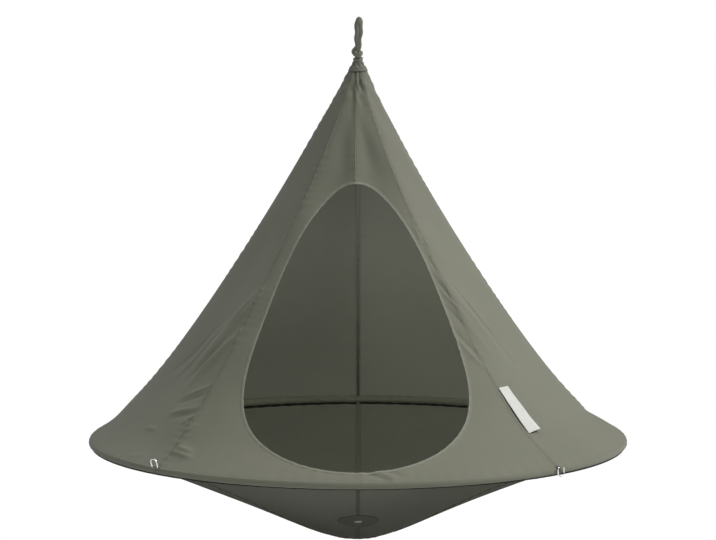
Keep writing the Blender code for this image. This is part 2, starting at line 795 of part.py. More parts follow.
# Suspension
def loop_route():
    """Centre line of the rope loop about the knot's centre: two strands that spread into a
    round-topped eye, turned about Z, and a bulge to -X in the rear strand just above the knot."""
    eye_centre = LOOP_REACH + ROPE_RADIUS - LOOP_EYE_RADIUS
    flat = []
    for k in range(LOOP_STRAND_STEPS):
        share = k / LOOP_STRAND_STEPS
        ease = share * share * (3 - 2 * share)
        spread = LOOP_FOOT_SPREAD + (LOOP_EYE_RADIUS - LOOP_FOOT_SPREAD) * ease
        flat.append(Vector((spread, 0, LOOP_FOOT_RISE + (eye_centre - LOOP_FOOT_RISE) * share)))
    mirrored = [Vector((-spot.x, 0, spot.z)) for spot in reversed(flat)]
    for k in range(11):
        turn = math.pi * k / 10
        flat.append(Vector((LOOP_EYE_RADIUS * math.cos(turn), 0, eye_centre + LOOP_EYE_RADIUS * math.sin(turn))))
    route = []
    for spot in flat + mirrored:
        share = min((spot.z - LOOP_FOOT_RISE) / LOOP_BULGE_HEIGHT, 1.0)
        bulge = LOOP_BULGE * math.sin(math.pi * share) ** 2 if spot.x < 0 else 0.0
        route.append(Matrix.Rotation(LOOP_TURN, 3, "Z") @ spot - Vector((bulge, 0, 0)))
    return route


def build_suspension(parts, cutters, materials, knot_spot):
    """Rope loop, the knot it is tied in, and the gathered collar that the knot seats in."""
    loop = as_mesh(tube_curve("suspension_loop", loop_route(), ROPE_RADIUS, False), parts)
    seat = bmesh.new()
    seat_radius = math.hypot(WRAP_RADIUS, WRAP_RISE) + WRAP_ROPE_RADIUS
    bmesh.ops.create_uvsphere(seat, u_segments=24, v_segments=16, radius=seat_radius)
    seat_obj = mesh_object("loop_seat_cutter", seat)
    seat_obj.location = knot_spot
    cutter(seat_obj, cutters)
    place(cut(smooth(loop, 60), seat_obj), parts, materials["rope"], None, knot_spot)

    ball = bmesh.new()
    bmesh.ops.create_uvsphere(ball, u_segments=20, v_segments=12, radius=KNOT_RADIUS)
    knot = smooth(mesh_object("rope_knot", ball))
    for name, rise in (("upper_wrap", WRAP_RISE), ("lower_wrap", -WRAP_RISE)):
        bpy.ops.mesh.primitive_torus_add(
            major_segments=20,
            minor_segments=8,
            major_radius=WRAP_RADIUS,
            minor_radius=WRAP_ROPE_RADIUS,
        )
        wrap = bpy.context.object
        wrap.name = name
        wrap.location = knot_spot + Vector((0, 0, rise))
        cutter(wrap, cutters)
        cut(knot, wrap, "UNION")
    place(knot, parts, materials["rope"], None, knot_spot)

    socket = KNOT_RADIUS + FIT_GAP
    top = -math.sqrt(socket ** 2 - COLLAR_CUP_RADIUS ** 2)
    bottom = NECK_HEIGHT + CANOPY_CLOTH / 2 + FIT_GAP - KNOT_CENTRE
    neck = canopy_radius(NECK_HEIGHT) + CANOPY_CLOTH
    cup = math.atan2(COLLAR_CUP_RADIUS, -top)
    profile = [(socket * math.sin(cup * k / 3), -socket * math.cos(cup * k / 3)) for k in range(4)]
    lip = COLLAR_CUP_RADIUS + COLLAR_LIP
    for share, drop in ((0.0, 0.05), (0.3, 0.12), (0.6, 0.30), (0.85, 0.58), (1.0, 0.86)):
        profile.append((lip + (neck - lip) * share, top + (bottom - top) * drop))
    profile += [(neck - 0.0008, bottom), (0, bottom)]
    collar = smooth(turned_object("neck_collar", profile, 16))
    place(collar, parts, materials["collar"], None, knot_spot)


def main():
    clear_scene()
    parts = make_collection("hanging_tent", True)
    cutters = make_collection("hanging_tent_cutters", False)
    olive = (0.205, 0.210, 0.165)
    materials = {
        "canopy": make_material("canopy_canvas", olive, 0.85),
        "hem": make_material("hem_canvas", (0.160, 0.164, 0.128), 0.85),
        "bowl": make_material("bowl_canvas", (0.085, 0.088, 0.068), 0.85),
        "patch": make_material("patch_canvas", (0.060, 0.062, 0.048), 0.85),
        "binding": make_material("binding_tape", (0.240, 0.245, 0.195), 0.80),
        "tape": make_material("seam_tape", (0.060, 0.062, 0.048), 0.80),
        "label": make_material("label_weave", (0.780, 0.780, 0.740), 0.70),
        "collar": make_material("collar_canvas", (0.150, 0.150, 0.120), 0.90),
        "rope": make_material("rope_olive", (0.120, 0.120, 0.095), 0.90),
        "pole": make_material("pole_aluminium", (0.720, 0.730, 0.740), 0.35, 1.0),
        "ferrule": make_material("ferrule_aluminium", (0.620, 0.630, 0.640), 0.30, 1.0),
        "cord": make_material("elastic_cord", (0.050, 0.050, 0.050), 0.75),
        "steel": make_material("ring_steel", (0.780, 0.780, 0.770), 0.25, 1.0),
    }
    knot_spot = Vector((0, 0, -LOOP_REACH))
    pivot = bpy.data.objects.new("tent_swing_pivot", None)
    pivot.location = knot_spot
    parts.objects.link(pivot)
    tent = (pivot, (0, 0, -KNOT_CENTRE))
    bpy.context.view_layer.update()
    build_hoop(parts, materials, tent)
    build_canopy(parts, cutters, materials, tent)
    build_binding(parts, materials, tent)
    build_seam_tapes(parts, materials, tent)
    build_label(parts, materials, tent)
    build_bowl(parts, cutters, materials, tent)
    build_guy_rings(parts, materials, tent)
    build_suspension(parts, cutters, materials, knot_spot)
    bpy.context.view_layer.update()


main()
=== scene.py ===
"""Visual model of a hanging cone tent: canopy, bowl, rim hoop, rim rings, rope loop and blank label.

Laid out as a Blender add-on and run as a script. Metres, +Z up. The doorway faces -Y and the origin is
the inside top of the rope loop. Heights in the shape functions are measured from the plane of the rim
hoop, and azimuths from the doorway's centre line (-Y), positive towards +X.
"""
import math

import bpy
import numpy as np
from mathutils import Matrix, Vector


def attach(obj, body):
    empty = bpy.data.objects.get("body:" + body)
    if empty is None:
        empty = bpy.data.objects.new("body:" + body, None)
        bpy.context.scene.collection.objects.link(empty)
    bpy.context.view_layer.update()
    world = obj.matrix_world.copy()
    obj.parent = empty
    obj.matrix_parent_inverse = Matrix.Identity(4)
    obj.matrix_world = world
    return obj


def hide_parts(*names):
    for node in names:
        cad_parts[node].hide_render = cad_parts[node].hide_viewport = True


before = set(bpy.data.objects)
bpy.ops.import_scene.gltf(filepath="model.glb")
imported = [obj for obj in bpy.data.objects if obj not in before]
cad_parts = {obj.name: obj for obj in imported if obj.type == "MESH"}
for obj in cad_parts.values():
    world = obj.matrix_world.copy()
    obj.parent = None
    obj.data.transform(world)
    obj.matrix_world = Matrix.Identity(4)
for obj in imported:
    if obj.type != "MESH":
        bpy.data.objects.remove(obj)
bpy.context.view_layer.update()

bl_info = {
    "name": "Hanging tent",
    "version": (1, 0, 0),
    "blender": (4, 5, 0),
    "location": "3D View > Sidebar > Tent",
    "description": "Builds the cloth, rope and metal pieces of a hanging cone tent",
    "category": "Add Mesh",
}

TAU = 2 * math.pi
GORES = 8
GORE_ANGLE = TAU / GORES
FIT_GAP = 0.0003

# Camera: its place, how many degrees it looks down, and its lens
CAMERA_PLACE = (0.0, -8.879, 0.295)
CAMERA_FALL = 6.35
CAMERA_LENS = 161.1
SENSOR_WIDTH = 36.0
CAMERA_FAR = 500.0

# Lamps: azimuth and elevation that the light comes from, strength, and spread, with the angles in degrees
LAMPS = {"key_light": (88, 50, 2.95, 35), "top_light": (0, 88, 1.25, 60)}
FILL_STRENGTH = 0.02
BACKDROP_STRENGTH = 1.05
FLOOR_HEIGHT = -1.95
FLOOR_RADII = (0.5, 60.0, 400.0)

# Shape of the canopy between its sizes
CANOPY_LOW = 0.0089
KNOT_DROP = 0.002
CLOTH_MIDDLE = 0.0010
CANOPY_OFF_HEM, BOWL_OFF_HEM = 0.0016, 0.0013
CANOPY_CURVE = 1.13
PANEL_FLATNESS = 0.85
FLATNESS_FADE = 0.15
SEAM_DRIFT = math.radians(18.0)
SEAM_DRIFT_CURVE = 3
LEAN_START = 0.030
LEAN_RUN = 0.090
FRONT_FLATNESS = 0.45
FRONT_FLAT_START = 0.55
FRONT_FLAT_RUN = 0.20
NECK_FADE = 6
FOOT_SHIFT = 0.0041
FOOT_FADE = 0.045
SIDE_HOLLOW = 0.0060
HOLLOW_TOP = 0.86
SEAM_SOFTNESS = 0.55
LEAN_REACH = math.radians(95)
LEAN_FADE = math.radians(60)

# Relief of the canopy cloth: rise, wave length and reach of each kind of pucker, wave and gather
SEAM_PUCKER, SEAM_PUCKER_LENGTH, SEAM_PUCKER_REACH = 0.0007, 0.023, 0.026
LONG_WAVE, LONG_WAVE_LENGTH = 0.0018, 0.34
SHORT_WAVE, SHORT_WAVE_LENGTH = 0.0010, 0.19
HOOP_PUCKER, HOOP_PUCKER_FADE = 0.0006, 0.030
GATHER_START, GATHER_RUN, GATHER_DEPTH = 0.93, 0.07, 0.034
GATHER_STOP, GATHER_FADE = 0.009, 0.018
CREASE_SCALE, CREASE_SHARPNESS = 1.6, 1.3

# Relief of the bowl cloth, in the same form
BOWL_GATHER, BOWL_GATHER_FADE = 0.0010, 0.045
BOWL_PUCKER, BOWL_PUCKER_LENGTH, BOWL_PUCKER_REACH = 0.0007, 0.033, 0.030
BOWL_WAVE, BOWL_WAVE_LENGTH = 0.0030, 0.52
BELLY, BELLY_TO_LEFT = 0.0022, 0.0034

# The canopy's edge over the hoop: where it starts and how far it goes round, in degrees, and how much less
# at the sides
EDGE_START, EDGE_SWEEP, EDGE_SIDES = 51.0, 93.0, 30.0

# Tension folds: start azimuth and height, end azimuth and height, half width, rise
TENSION_FOLDS = (
    (-66, 0.19, -44, 0.46, 0.024, 0.010),
    (-60, 0.17, -45, 0.35, 0.020, 0.007),
    (60, 0.24, 42, 0.52, 0.024, 0.010),
    (54, 0.24, 43, 0.42, 0.020, 0.006),
    (66, 0.066, 118, 0.076, 0.024, -0.011),
)

# Fine creases in the cloth, in the same form: long ones on both sides, a fan of short ones at the front
# left seam, some between the doorway and the front right seam, and some under the doorway
CREASES = (
    (-72.2, 0.183, -57.5, 0.361, 0.0070, 0.0040),
    (-78.2, 0.183, -62.8, 0.354, 0.0070, -0.0020),
    (-59.3, 0.195, -44.5, 0.352, 0.0060, 0.0032),
    (-53.2, 0.232, -43.8, 0.363, 0.0060, 0.0028),
    (-62.8, 0.187, -49.0, 0.345, 0.0060, -0.0022),
    (-56.5, 0.337, -43.5, 0.472, 0.0070, 0.0030),
    (-50.0, 0.364, -41.2, 0.468, 0.0060, 0.0020),
    (-57.2, 0.159, -44.2, 0.211, 0.0052, 0.0028),
    (-57.0, 0.144, -44.2, 0.189, 0.0048, -0.0022),
    (-57.5, 0.120, -44.5, 0.153, 0.0048, 0.0030),
    (-54.5, 0.112, -44.2, 0.141, 0.0046, -0.0022),
    (-48.2, 0.108, -43.8, 0.138, 0.0046, 0.0026),
    (-44.8, 0.088, -42.8, 0.114, 0.0046, 0.0020),
    (-63.0, 0.078, -56.5, 0.081, 0.0048, 0.0020),
    (-45.0, 0.058, -39.0, 0.049, 0.0048, 0.0038),
    (-45.2, 0.045, -38.0, 0.037, 0.0048, 0.0034),
    (-57.2, 0.018, -52.0, 0.027, 0.0044, 0.0016),
    (51.0, 0.474, 64.8, 0.304, 0.0070, 0.0034),
    (61.5, 0.355, 67.5, 0.214, 0.0070, 0.0030),
    (49.0, 0.423, 60.3, 0.264, 0.0060, 0.0024),
    (51.8, 0.451, 66.0, 0.277, 0.0060, -0.0022),
    (40.2, 0.420, 47.5, 0.322, 0.0058, -0.0017),
    (38.5, 0.366, 47.0, 0.248, 0.0062, -0.0021),
    (37.6, 0.350, 45.0, 0.236, 0.0056, 0.0019),
    (41.0, 0.500, 46.5, 0.392, 0.0056, -0.0017),
    (41.0, 0.462, 49.5, 0.352, 0.0056, 0.0021),
    (42.0, 0.560, 47.0, 0.440, 0.0052, -0.0015),
    (3.2, 0.030, 8.8, 0.012, 0.0048, 0.0028),
    (1.2, 0.027, 6.8, 0.011, 0.0044, -0.0020),
    (5.5, 0.029, 10.5, 0.015, 0.0044, -0.0020),
    (42.8, 0.628, 42.8, 0.571, 0.0048, 0.0018),
    (44.8, 0.601, 46.2, 0.538, 0.0048, -0.0018),
)

# Doorway outline: half width = share * hoop radius * sin t * (1 - taper c + squareness c^2 - droop c^3)
DOOR_TAPER = 0.549
DOOR_SQUARENESS = 0.400
DOOR_DROOP = 0.246

# Rope: its braid, the loop's route, the wrap over the knot, and the knot
BRAID_TWIST, BRAID_STRANDS, BRAID_RELIEF = 182.0, 8, 0.07
ROPE_SEAT = 0.0055
LOOP_FOOT_SPREAD = 0.00625
LOOP_FOOT_RISE = 0.0070
LOOP_TURN = math.radians(-73)
LOOP_BULGE = 0.009
LOOP_BULGE_HEIGHT = 0.032
LOOP_SWAY, LOOP_SWAY_LENGTH = 0.0011, 0.034
LOOP_LEAN, LOOP_LEAN_START, LOOP_LEAN_RUN = 0.0022, 0.045, 0.05
WRAP_HALF_WIDTHS, WRAP_HEIGHT, WRAP_CLIMB, WRAP_TILT = (0.0135, 0.0088), 0.0148, 0.0019, 0.0028
WRAP_THICKNESS, COIL_THICKNESS, STRAND_THICKNESS = 0.0042, 0.0045, 0.0043
COIL_RADIUS, COIL_SWELL, COIL_HEIGHT = 0.0045, 0.0046, 0.0132
STRAND_BEARING, STRAND_REACH, STRAND_HALF_HEIGHT = -1.15, 0.0092, 0.0096
KNOT_CORE = 0.0108

# Collar: pleats round it, how far they turn for each metre of height, their depth, and its skirt's gap and
# drop from the canopy's gathered top
PLEATS, PLEAT_TWIST, PLEAT_DEPTH = 8, 260, 0.065
SKIRT_GAP, SKIRT_DROP = 0.0022, 0.0104

# Outline of the collar's cup round the knot, from its middle outwards: reach, and height over the knot's
# centre
CUP_OUTLINE = ((0.0020, -0.0152), (0.0060, -0.0140), (0.0095, -0.0119), (0.0128, -0.0083), (0.0144, -0.0050))
CUP_OUTLINE += ((0.0151, -0.0046), (0.0157, -0.0056), (0.0164, -0.0100), (0.0193, -0.0150))

# Outline of the drain's rolled eyelet, outside and inside the bowl: reach, and rise from the cloth
EYELET_OUTSIDE = ((0.0052, 0.0030), (0.0066, 0.0037), (0.0086, 0.0036), (0.0102, 0.0028), (0.0105, 0.0022))
EYELET_NECK = ((0.0062, 0.0020), (0.0062, -0.0010))
EYELET_INSIDE = ((0.0100, -0.0012), (0.0096, -0.0019), (0.0066, -0.0023), (0.0052, -0.0017))

# Binding of the doorway: thickness, squareness, how much thicker its inner edge is, and its ripple
BINDING_THICKNESS, BINDING_SQUARENESS, BINDING_ROLL = 0.0030, 0.45, 0.22
BINDING_RIPPLE, BINDING_RIPPLE_LENGTH = 0.00035, 0.027

# Hoop: outer radius and wall of its tubes, half a ferrule's length, and the cord, which hangs a little
POLE_RADIUS, POLE_WALL = 0.0080, 0.0012
FERRULE_RADIUS, FERRULE_WALL, FERRULE_HALF = 0.0065, 0.0014, 0.045
CORD_RADIUS, CORD_SAG = 0.0020, 0.0028

# Rim rings: place of a ring's bar from the hoop and the canopy's foot, and the webbing tab round the bar
RING_PIVOT = (0.0175, 0.0010)
RING_CORNER = 0.004
TAB_WIDTH, TAB_THICKNESS, TAB_BEND = 0.0130, 0.0011, 0.0036

# Thickness of the pieces that are sewn on
RIDGE_THICKNESS, LABEL_THICKNESS, PATCH_THICKNESS, HEM_THICKNESS = 0.0006, 0.0007, 0.0008, 0.0011

# Seams of the canopy: gap over the doorway, tops of the front ridge and the others, step along a seam, and
# how the ridges round off and sink in at their tops
DOOR_SEAM_GAP, FRONT_RIDGE_TOP, RIDGE_TOP, SEAM_STEP = 0.010, 0.90, 0.93, 0.0045
RIDGE_ROUNDING, RIDGE_SINK, RIDGE_SINK_RUN = 2.6, 0.0009, 0.02

# Hem: two ripples round it, each as its rise and how many times it repeats
HEM_RIPPLES = ((0.00035, 150), (0.00025, 67))

# Bowl: radius of its closed tip, how far its cloth goes up past its upper edge, and the seams' upper ends
BOWL_TIP_RADIUS, BOWL_UPTURN, BOWL_SEAM_GAP = 0.006, 0.006, 0.002

# Patches: how far they lie off the bowl, and the ripple of their edge
PATCH_LIFT, PATCH_RIPPLE = 0.0017, 0.0005

# Label strip: lift off the cloth, curl along it and at its foot, bow across it, and its ripple
LABEL_LIFT, LABEL_CURL, LABEL_FOOT_CURL, LABEL_BOW, LABEL_RIPPLE = 0.0016, 0.0055, 0.0045, 0.0012, 0.0006

# Label strip: azimuths of its foot and top, height of its foot, and how far it lies straight between them
LABEL_FOOT, LABEL_TOP = math.radians(45.6), math.radians(45.3)
LABEL_HEIGHT = 0.087
LABEL_STRAIGHTNESS = 0.7

RIM_RINGS = {"front_left": -45, "front_right": 45, "rear_right": 135, "rear_left": -135}
RAISED_RINGS = {"front_left": math.radians(165)}
GORE_NAMES = ("front_right", "right_front", "right_rear", "rear_right")
GORE_NAMES += ("rear_left", "left_rear", "left_front", "front_left")
SEAM_NAMES = ("front", "front_right", "right", "rear_right", "rear", "rear_left", "left", "front_left")

# Share of the light that comes through cloth
LIGHT_SHARE = 0.25

# Every finish by a plain name, filled in when the tent is built
FINISHES = {}


# Settings that a user would change
def length(name, description, default):
    """A length setting, in metres."""
    return bpy.props.FloatProperty(
        name=name, description=description, default=default, precision=4, unit="LENGTH", subtype="DISTANCE"
    )


def ratio(name, description, default):
    """A plain number setting."""
    return bpy.props.FloatProperty(name=name, description=description, default=default, precision=3)


def colour(name, description, default):
    """A linear colour setting."""
    return bpy.props.FloatVectorProperty(
        name=name, description=description, default=default, size=3, min=0.0, max=1.0, subtype="COLOR"
    )


class TentSizes(bpy.types.PropertyGroup):
    """Sizes of the tent's pieces."""

    hoop_radius: length("Hoop radius", "Radius of the rim hoop's centre line", 0.7396)
    hem_radius: length("Hem radius", "Outer radius of the cloth sleeve round the hoop", 0.0103)
    canopy_height: length("Canopy height", "Height of the canopy's point above the hoop", 1.062)
    neck_drop: length("Neck drop", "How far below its point the canopy is gathered", 0.023)
    neck_radius: length("Neck radius", "Radius of the canopy at its point", 0.012)
    flare_reach: length("Flare reach", "How far the canopy flares out at the hoop", 0.074)
    flare_fade: length("Flare fade", "Height over which the flare fades", 0.100)
    lean: length("Lean", "How far the canopy's body leans to the left", 0.010)
    canvas_thickness: length("Canvas thickness", "Thickness of the canopy and bowl cloth", 0.0012)
    seam_width: length("Seam width", "Width of the felled seams", 0.009)
    door_top: length("Door top", "Height of the doorway's top above the hoop", 0.729)
    door_bottom: length("Door bottom", "Height of the doorway's bottom above the hoop", 0.030)
    door_shift: length("Door shift", "How far the doorway lies to the right", -0.005)
    door_share: ratio("Door width share", "Doorway half width as a share of the hoop radius", 0.331)
    binding_width: length("Binding width", "Width of the tape round the doorway", 0.0090)
    bowl_depth: length("Bowl depth", "Depth of the bowl below the hoop", 0.2775)
    bowl_slope: ratio("Bowl slope", "Fall of the bowl's sides for each metre inwards", 0.508)
    bowl_tip: length("Bowl tip", "Rounding of the bowl's lowest point", 0.112)
    bowl_rim_curve: ratio("Bowl rim curve", "How late the bowl's sides ease up to the hoop", 6.0)
    bowl_edge: length("Bowl edge", "Radius of the bowl's upper edge", 0.7386)
    base_radius: length("Base patch radius", "Radius of the patch under the bowl", 0.068)
    drain_reach: length("Drain reach", "Distance of the drain from the axis", 0.295)
    drain_radius: length("Drain patch radius", "Radius of the patch round the drain", 0.055)
    label_length: length("Label length", "Length of the woven strip", 0.152)
    label_width: length("Label width", "Width of the woven strip", 0.044)
    rope_radius: length("Rope radius", "Radius of the rope", 0.0058)
    loop_reach: length("Loop reach", "From the loop's inside top down to the knot's centre", 0.109)
    loop_eye: length("Loop eye", "Radius of the loop's round top", 0.0195)
    ring_width: length("Ring width", "Width of a rim ring, between its legs' centre lines", 0.023)
    ring_height: length("Ring height", "Height of a rim ring, on its wire's centre line", 0.024)
    wire_radius: length("Wire radius", "Radius of the rim rings' wire", 0.002)
    thread_pitch: length("Thread pitch", "Distance between the canvas's threads", 0.0009)
    stitch_pitch: length("Stitch pitch", "Length of one stitch and its gap", 0.0042)


class TentColours(bpy.types.PropertyGroup):
    """Colours of the tent's pieces."""

    canopy: colour("Canopy", "Outer face of the canopy canvas", (0.196, 0.200, 0.154))
    # The lining is lighter than the canopy's outer face as painted light inside the tent
    lining: colour("Lining", "Inner face of the canopy canvas", (0.350, 0.355, 0.310))
    canopy_light: colour("Canopy light", "Light that comes through the canopy", (0.880, 0.890, 0.800))
    bowl_light: colour("Bowl light", "Light that comes through the bowl", (0.560, 0.570, 0.530))
    # The bowl's outer face is dark as painted shade of the tent's underside, and its lining is light as painted
    # light inside
    bowl: colour("Bowl", "Outer face of the bowl canvas", (0.076, 0.077, 0.063))
    bowl_lining: colour("Bowl lining", "Inner face of the bowl canvas", (0.720, 0.730, 0.640))
    # The hoop sleeve is one cloth: its outward half is near black as painted shade under the hoop, and its
    # inner half is light as painted light inside the tent
    hem: colour("Hem", "Sleeve round the hoop, where it faces outwards", (0.025, 0.026, 0.021))
    hem_lining: colour("Hem lining", "Sleeve round the hoop, where it faces inwards", (0.800, 0.810, 0.720))
    # The patches and the bowl's outer seams take a dark tone like the bowl's, as painted shade of the underside
    patch: colour("Patch", "Round patches under the bowl", (0.062, 0.063, 0.051))
    collar: colour("Collar", "Gathered cloth under the knot", (0.140, 0.143, 0.110))
    ridge: colour("Ridge", "Felled seams outside the canopy", (0.158, 0.161, 0.124))
    binding: colour("Binding", "Tape round the doorway", (0.215, 0.219, 0.172))
    tape: colour("Tape", "Tapes inside the seams", (0.480, 0.485, 0.430))
    webbing: colour("Webbing", "Tabs of the rim rings", (0.180, 0.183, 0.142))
    thread: colour("Thread", "Sewing thread", (0.150, 0.153, 0.118))
    label: colour("Label", "Woven label strip", (0.640, 0.640, 0.600))
    rope: colour("Rope", "Suspension rope", (0.190, 0.194, 0.152))
    steel: colour("Steel", "Rim rings", (0.780, 0.780, 0.770))
    eyelet: colour("Eyelet", "Drain eyelet", (0.300, 0.300, 0.290))
    aluminium: colour("Aluminium", "Hoop poles and ferrules", (0.720, 0.730, 0.740))
    elastic: colour("Elastic", "Elastic cord inside the hoop", (0.050, 0.050, 0.050))
    floor: colour("Floor", "Studio floor", (0.930, 0.930, 0.930))


# Arrays
def unit(vectors):
    """Vectors scaled to length one."""
    return vectors / np.maximum(np.linalg.norm(vectors, axis=-1, keepdims=True), 1e-12)


def eased(share):
    """Smooth step: 3 s^2 - 2 s^3 of a share held between 0 and 1."""
    share = np.clip(share, 0.0, 1.0)
    return share * share * (3 - 2 * share)


def front(azimuth):
    """Unit vectors in the hoop's plane: (sin a, -cos a, 0)."""
    return np.stack([np.sin(azimuth), -np.cos(azimuth), np.zeros_like(azimuth)], -1)


def whole_turn(count, closed=False):
    """Evenly spaced angles of one turn, from 0, and its end too if it is closed."""
    return TAU * np.arange(count + closed) / count


def ray(turn):
    """Unit vectors in a plane: (cos t, sin t)."""
    return np.stack([np.cos(turn), np.sin(turn)], -1)


def raised(flat, height):
    """Points of a plane at a height each, or at one for all: (x, y, height)."""
    return np.concatenate([flat, np.broadcast_to(height, flat.shape[:-1])[..., None]], -1)


def turned(points, angle):
    """Points turned about Z: (x cos t - y sin t, x sin t + y cos t, z)."""
    c, s = math.cos(angle), math.sin(angle)
    x, y, z = np.moveaxis(points, -1, 0)
    return np.stack([x * c - y * s, x * s + y * c, z], -1)


def above(points, height):
    """Points moved up by a height each."""
    return points + np.stack([0 * height, 0 * height, height], -1)


def pairs(u, v):
    """Two arrays, spread to one shape, as an array of (u, v)."""
    return np.stack(np.broadcast_arrays(u, v), -1)


def corners(grid):
    """The four corners of each cell of a grid, in order round the cell."""
    return np.stack([grid[:-1, :-1], grid[:-1, 1:], grid[1:, 1:], grid[1:, :-1]], 2)


def run_length(points, closed=False):
    """Distance along a path at each of its points, and back at the first one if it is closed."""
    if closed:
        points = np.concatenate([points, points[:1]])
    return np.concatenate([[0.0], np.cumsum(np.linalg.norm(np.diff(points, axis=0), axis=-1))])


def swept(path, facing, profile, closed=False):
    """A profile carried along a path: point = path + x * side + y * facing, where facing is made square
    to the path and side is facing crossed with the path's direction. The profile, (n, 2) or one for
    each path point, runs anticlockwise."""
    ahead = np.roll(path, -1, 0) - np.roll(path, 1, 0)
    if not closed:
        ahead[0], ahead[-1] = path[1] - path[0], path[-1] - path[-2]
    ahead = unit(ahead)
    facing = unit(facing - (facing * ahead).sum(-1, keepdims=True) * ahead)
    side = np.cross(facing, ahead)
    profile = np.broadcast_to(profile, (len(path), *profile.shape[-2:]))
    return path[:, None] + profile[..., :1] * side[:, None] + profile[..., 1:] * facing[:, None]


def swept_uv(path, profile, closed=False):
    """UV of a swept surface, in metres: round the profile, and along the path."""
    outline = profile if profile.ndim == 2 else profile[0]
    return pairs(run_length(outline, True)[None], run_length(path, closed)[:, None])


def strap_profile(width, thickness, count, squareness):
    """A flat profile with rounded edges: (w/2 |cos t|^q, h/2 |sin t|^q), with the signs kept."""
    spots = ray(TAU * (np.arange(count) + 0.5) / count)
    return np.array([width, thickness]) / 2 * np.sign(spots) * np.abs(spots) ** squareness


def gore_place(azimuth):
    """Where azimuths lie among the gores: the nearest seam's number, the angle from it, the panel's
    number, and the share of the way across that panel."""
    step = azimuth / GORE_ANGLE
    seam = np.round(step)
    return seam % GORES, np.abs(azimuth - seam * GORE_ANGLE), np.floor(step) % GORES, step % 1.0


class Surface:
    """Grids of points gathered into one mesh. A grid is rows by columns; a face looks the way that the
    columns' direction crossed with the rows' direction points."""

    def __init__(self):
        self.points, self.faces, self.uvs, self.count = [], {3: [], 4: []}, {3: [], 4: []}, 0

    def grid(self, points, uv, around=False, along=False, caps=(False, False), keep=None):
        """Add a grid. around joins the last column to the first, along the last row to the first, and
        caps close the first and last row with a fan. uv is per grid point, or per face corner."""
        rows, columns = points.shape[:2]
        index = np.arange(rows * columns).reshape(rows, columns) + self.count
        self.points.append(points.reshape(-1, 3))
        self.count += rows * columns
        if around:
            index = np.concatenate([index, index[:, :1]], 1)
        if along:
            index = np.concatenate([index, index[:1]], 0)
        cells = corners(index)
        uv = corners(uv) if uv.ndim == 3 else uv
        if keep is not None:
            cells, uv = cells[keep], uv[keep]
        self.faces[4].append(cells.reshape(-1, 4))
        self.uvs[4].append(uv.reshape(-1, 4, 2))
        for row, wanted, order in ((0, caps[0], -1), (-1, caps[1], 1)):
            if wanted:
                ring = index[row][::order]
                hub = np.full(len(ring) - 1, self.count)
                self.points.append(points[row].mean(0)[None])
                self.count += 1
                self.faces[3].append(np.stack([hub, ring[:-1], ring[1:]], -1))
                self.uvs[3].append(np.zeros((len(hub), 3, 2)))
        return self

    def piece(self, name, *materials):
        """The gathered grids as one smooth object with its UV map and materials."""
        groups = [np.concatenate(self.faces[n]) for n in (4, 3) if self.faces[n]]
        uv = np.concatenate([np.concatenate(self.uvs[n]).reshape(-1, 2) for n in (4, 3) if self.faces[n]])
        used, index = np.unique(np.concatenate([g.ravel() for g in groups]), return_inverse=True)
        sizes = np.concatenate([np.full(len(g), g.shape[1]) for g in groups])
        mesh = bpy.data.meshes.new(name)
        mesh.vertices.add(len(used))
        mesh.vertices.foreach_set("co", np.concatenate(self.points)[used].astype(np.float32).ravel())
        mesh.loops.add(len(index))
        mesh.loops.foreach_set("vertex_index", index.astype(np.int32))
        mesh.polygons.add(len(sizes))
        mesh.polygons.foreach_set("loop_start", (np.cumsum(sizes) - sizes).astype(np.int32))
        mesh.polygons.foreach_set("use_smooth", np.ones(len(sizes), bool))
        mesh.uv_layers.new(name="UVMap").data.foreach_set("uv", uv.astype(np.float32).ravel())
        mesh.update(calc_edges=True)
        mesh.validate()
        obj = bpy.data.objects.new(name, mesh)
        bpy.context.scene.collection.objects.link(obj)
        for material in materials:
            mesh.materials.append(material)
        return obj


def thicken(piece, thickness, offset=0.0, inner_material=0):
    """Give a sheet its thickness. Offset -1 keeps the outer face where it is, and the inner face may have
    a material of its own."""
    wall = piece.modifiers.new("Cloth", "SOLIDIFY")
    wall.thickness = thickness
    wall.offset = offset
    wall.material_offset = inner_material
    return piece


def dress(piece, body, slot, *nodes):
    """A piece rides on a body and stands for CAD nodes, which are hidden. slot is not used."""
    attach(piece, body)
    if nodes:
        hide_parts(*nodes)


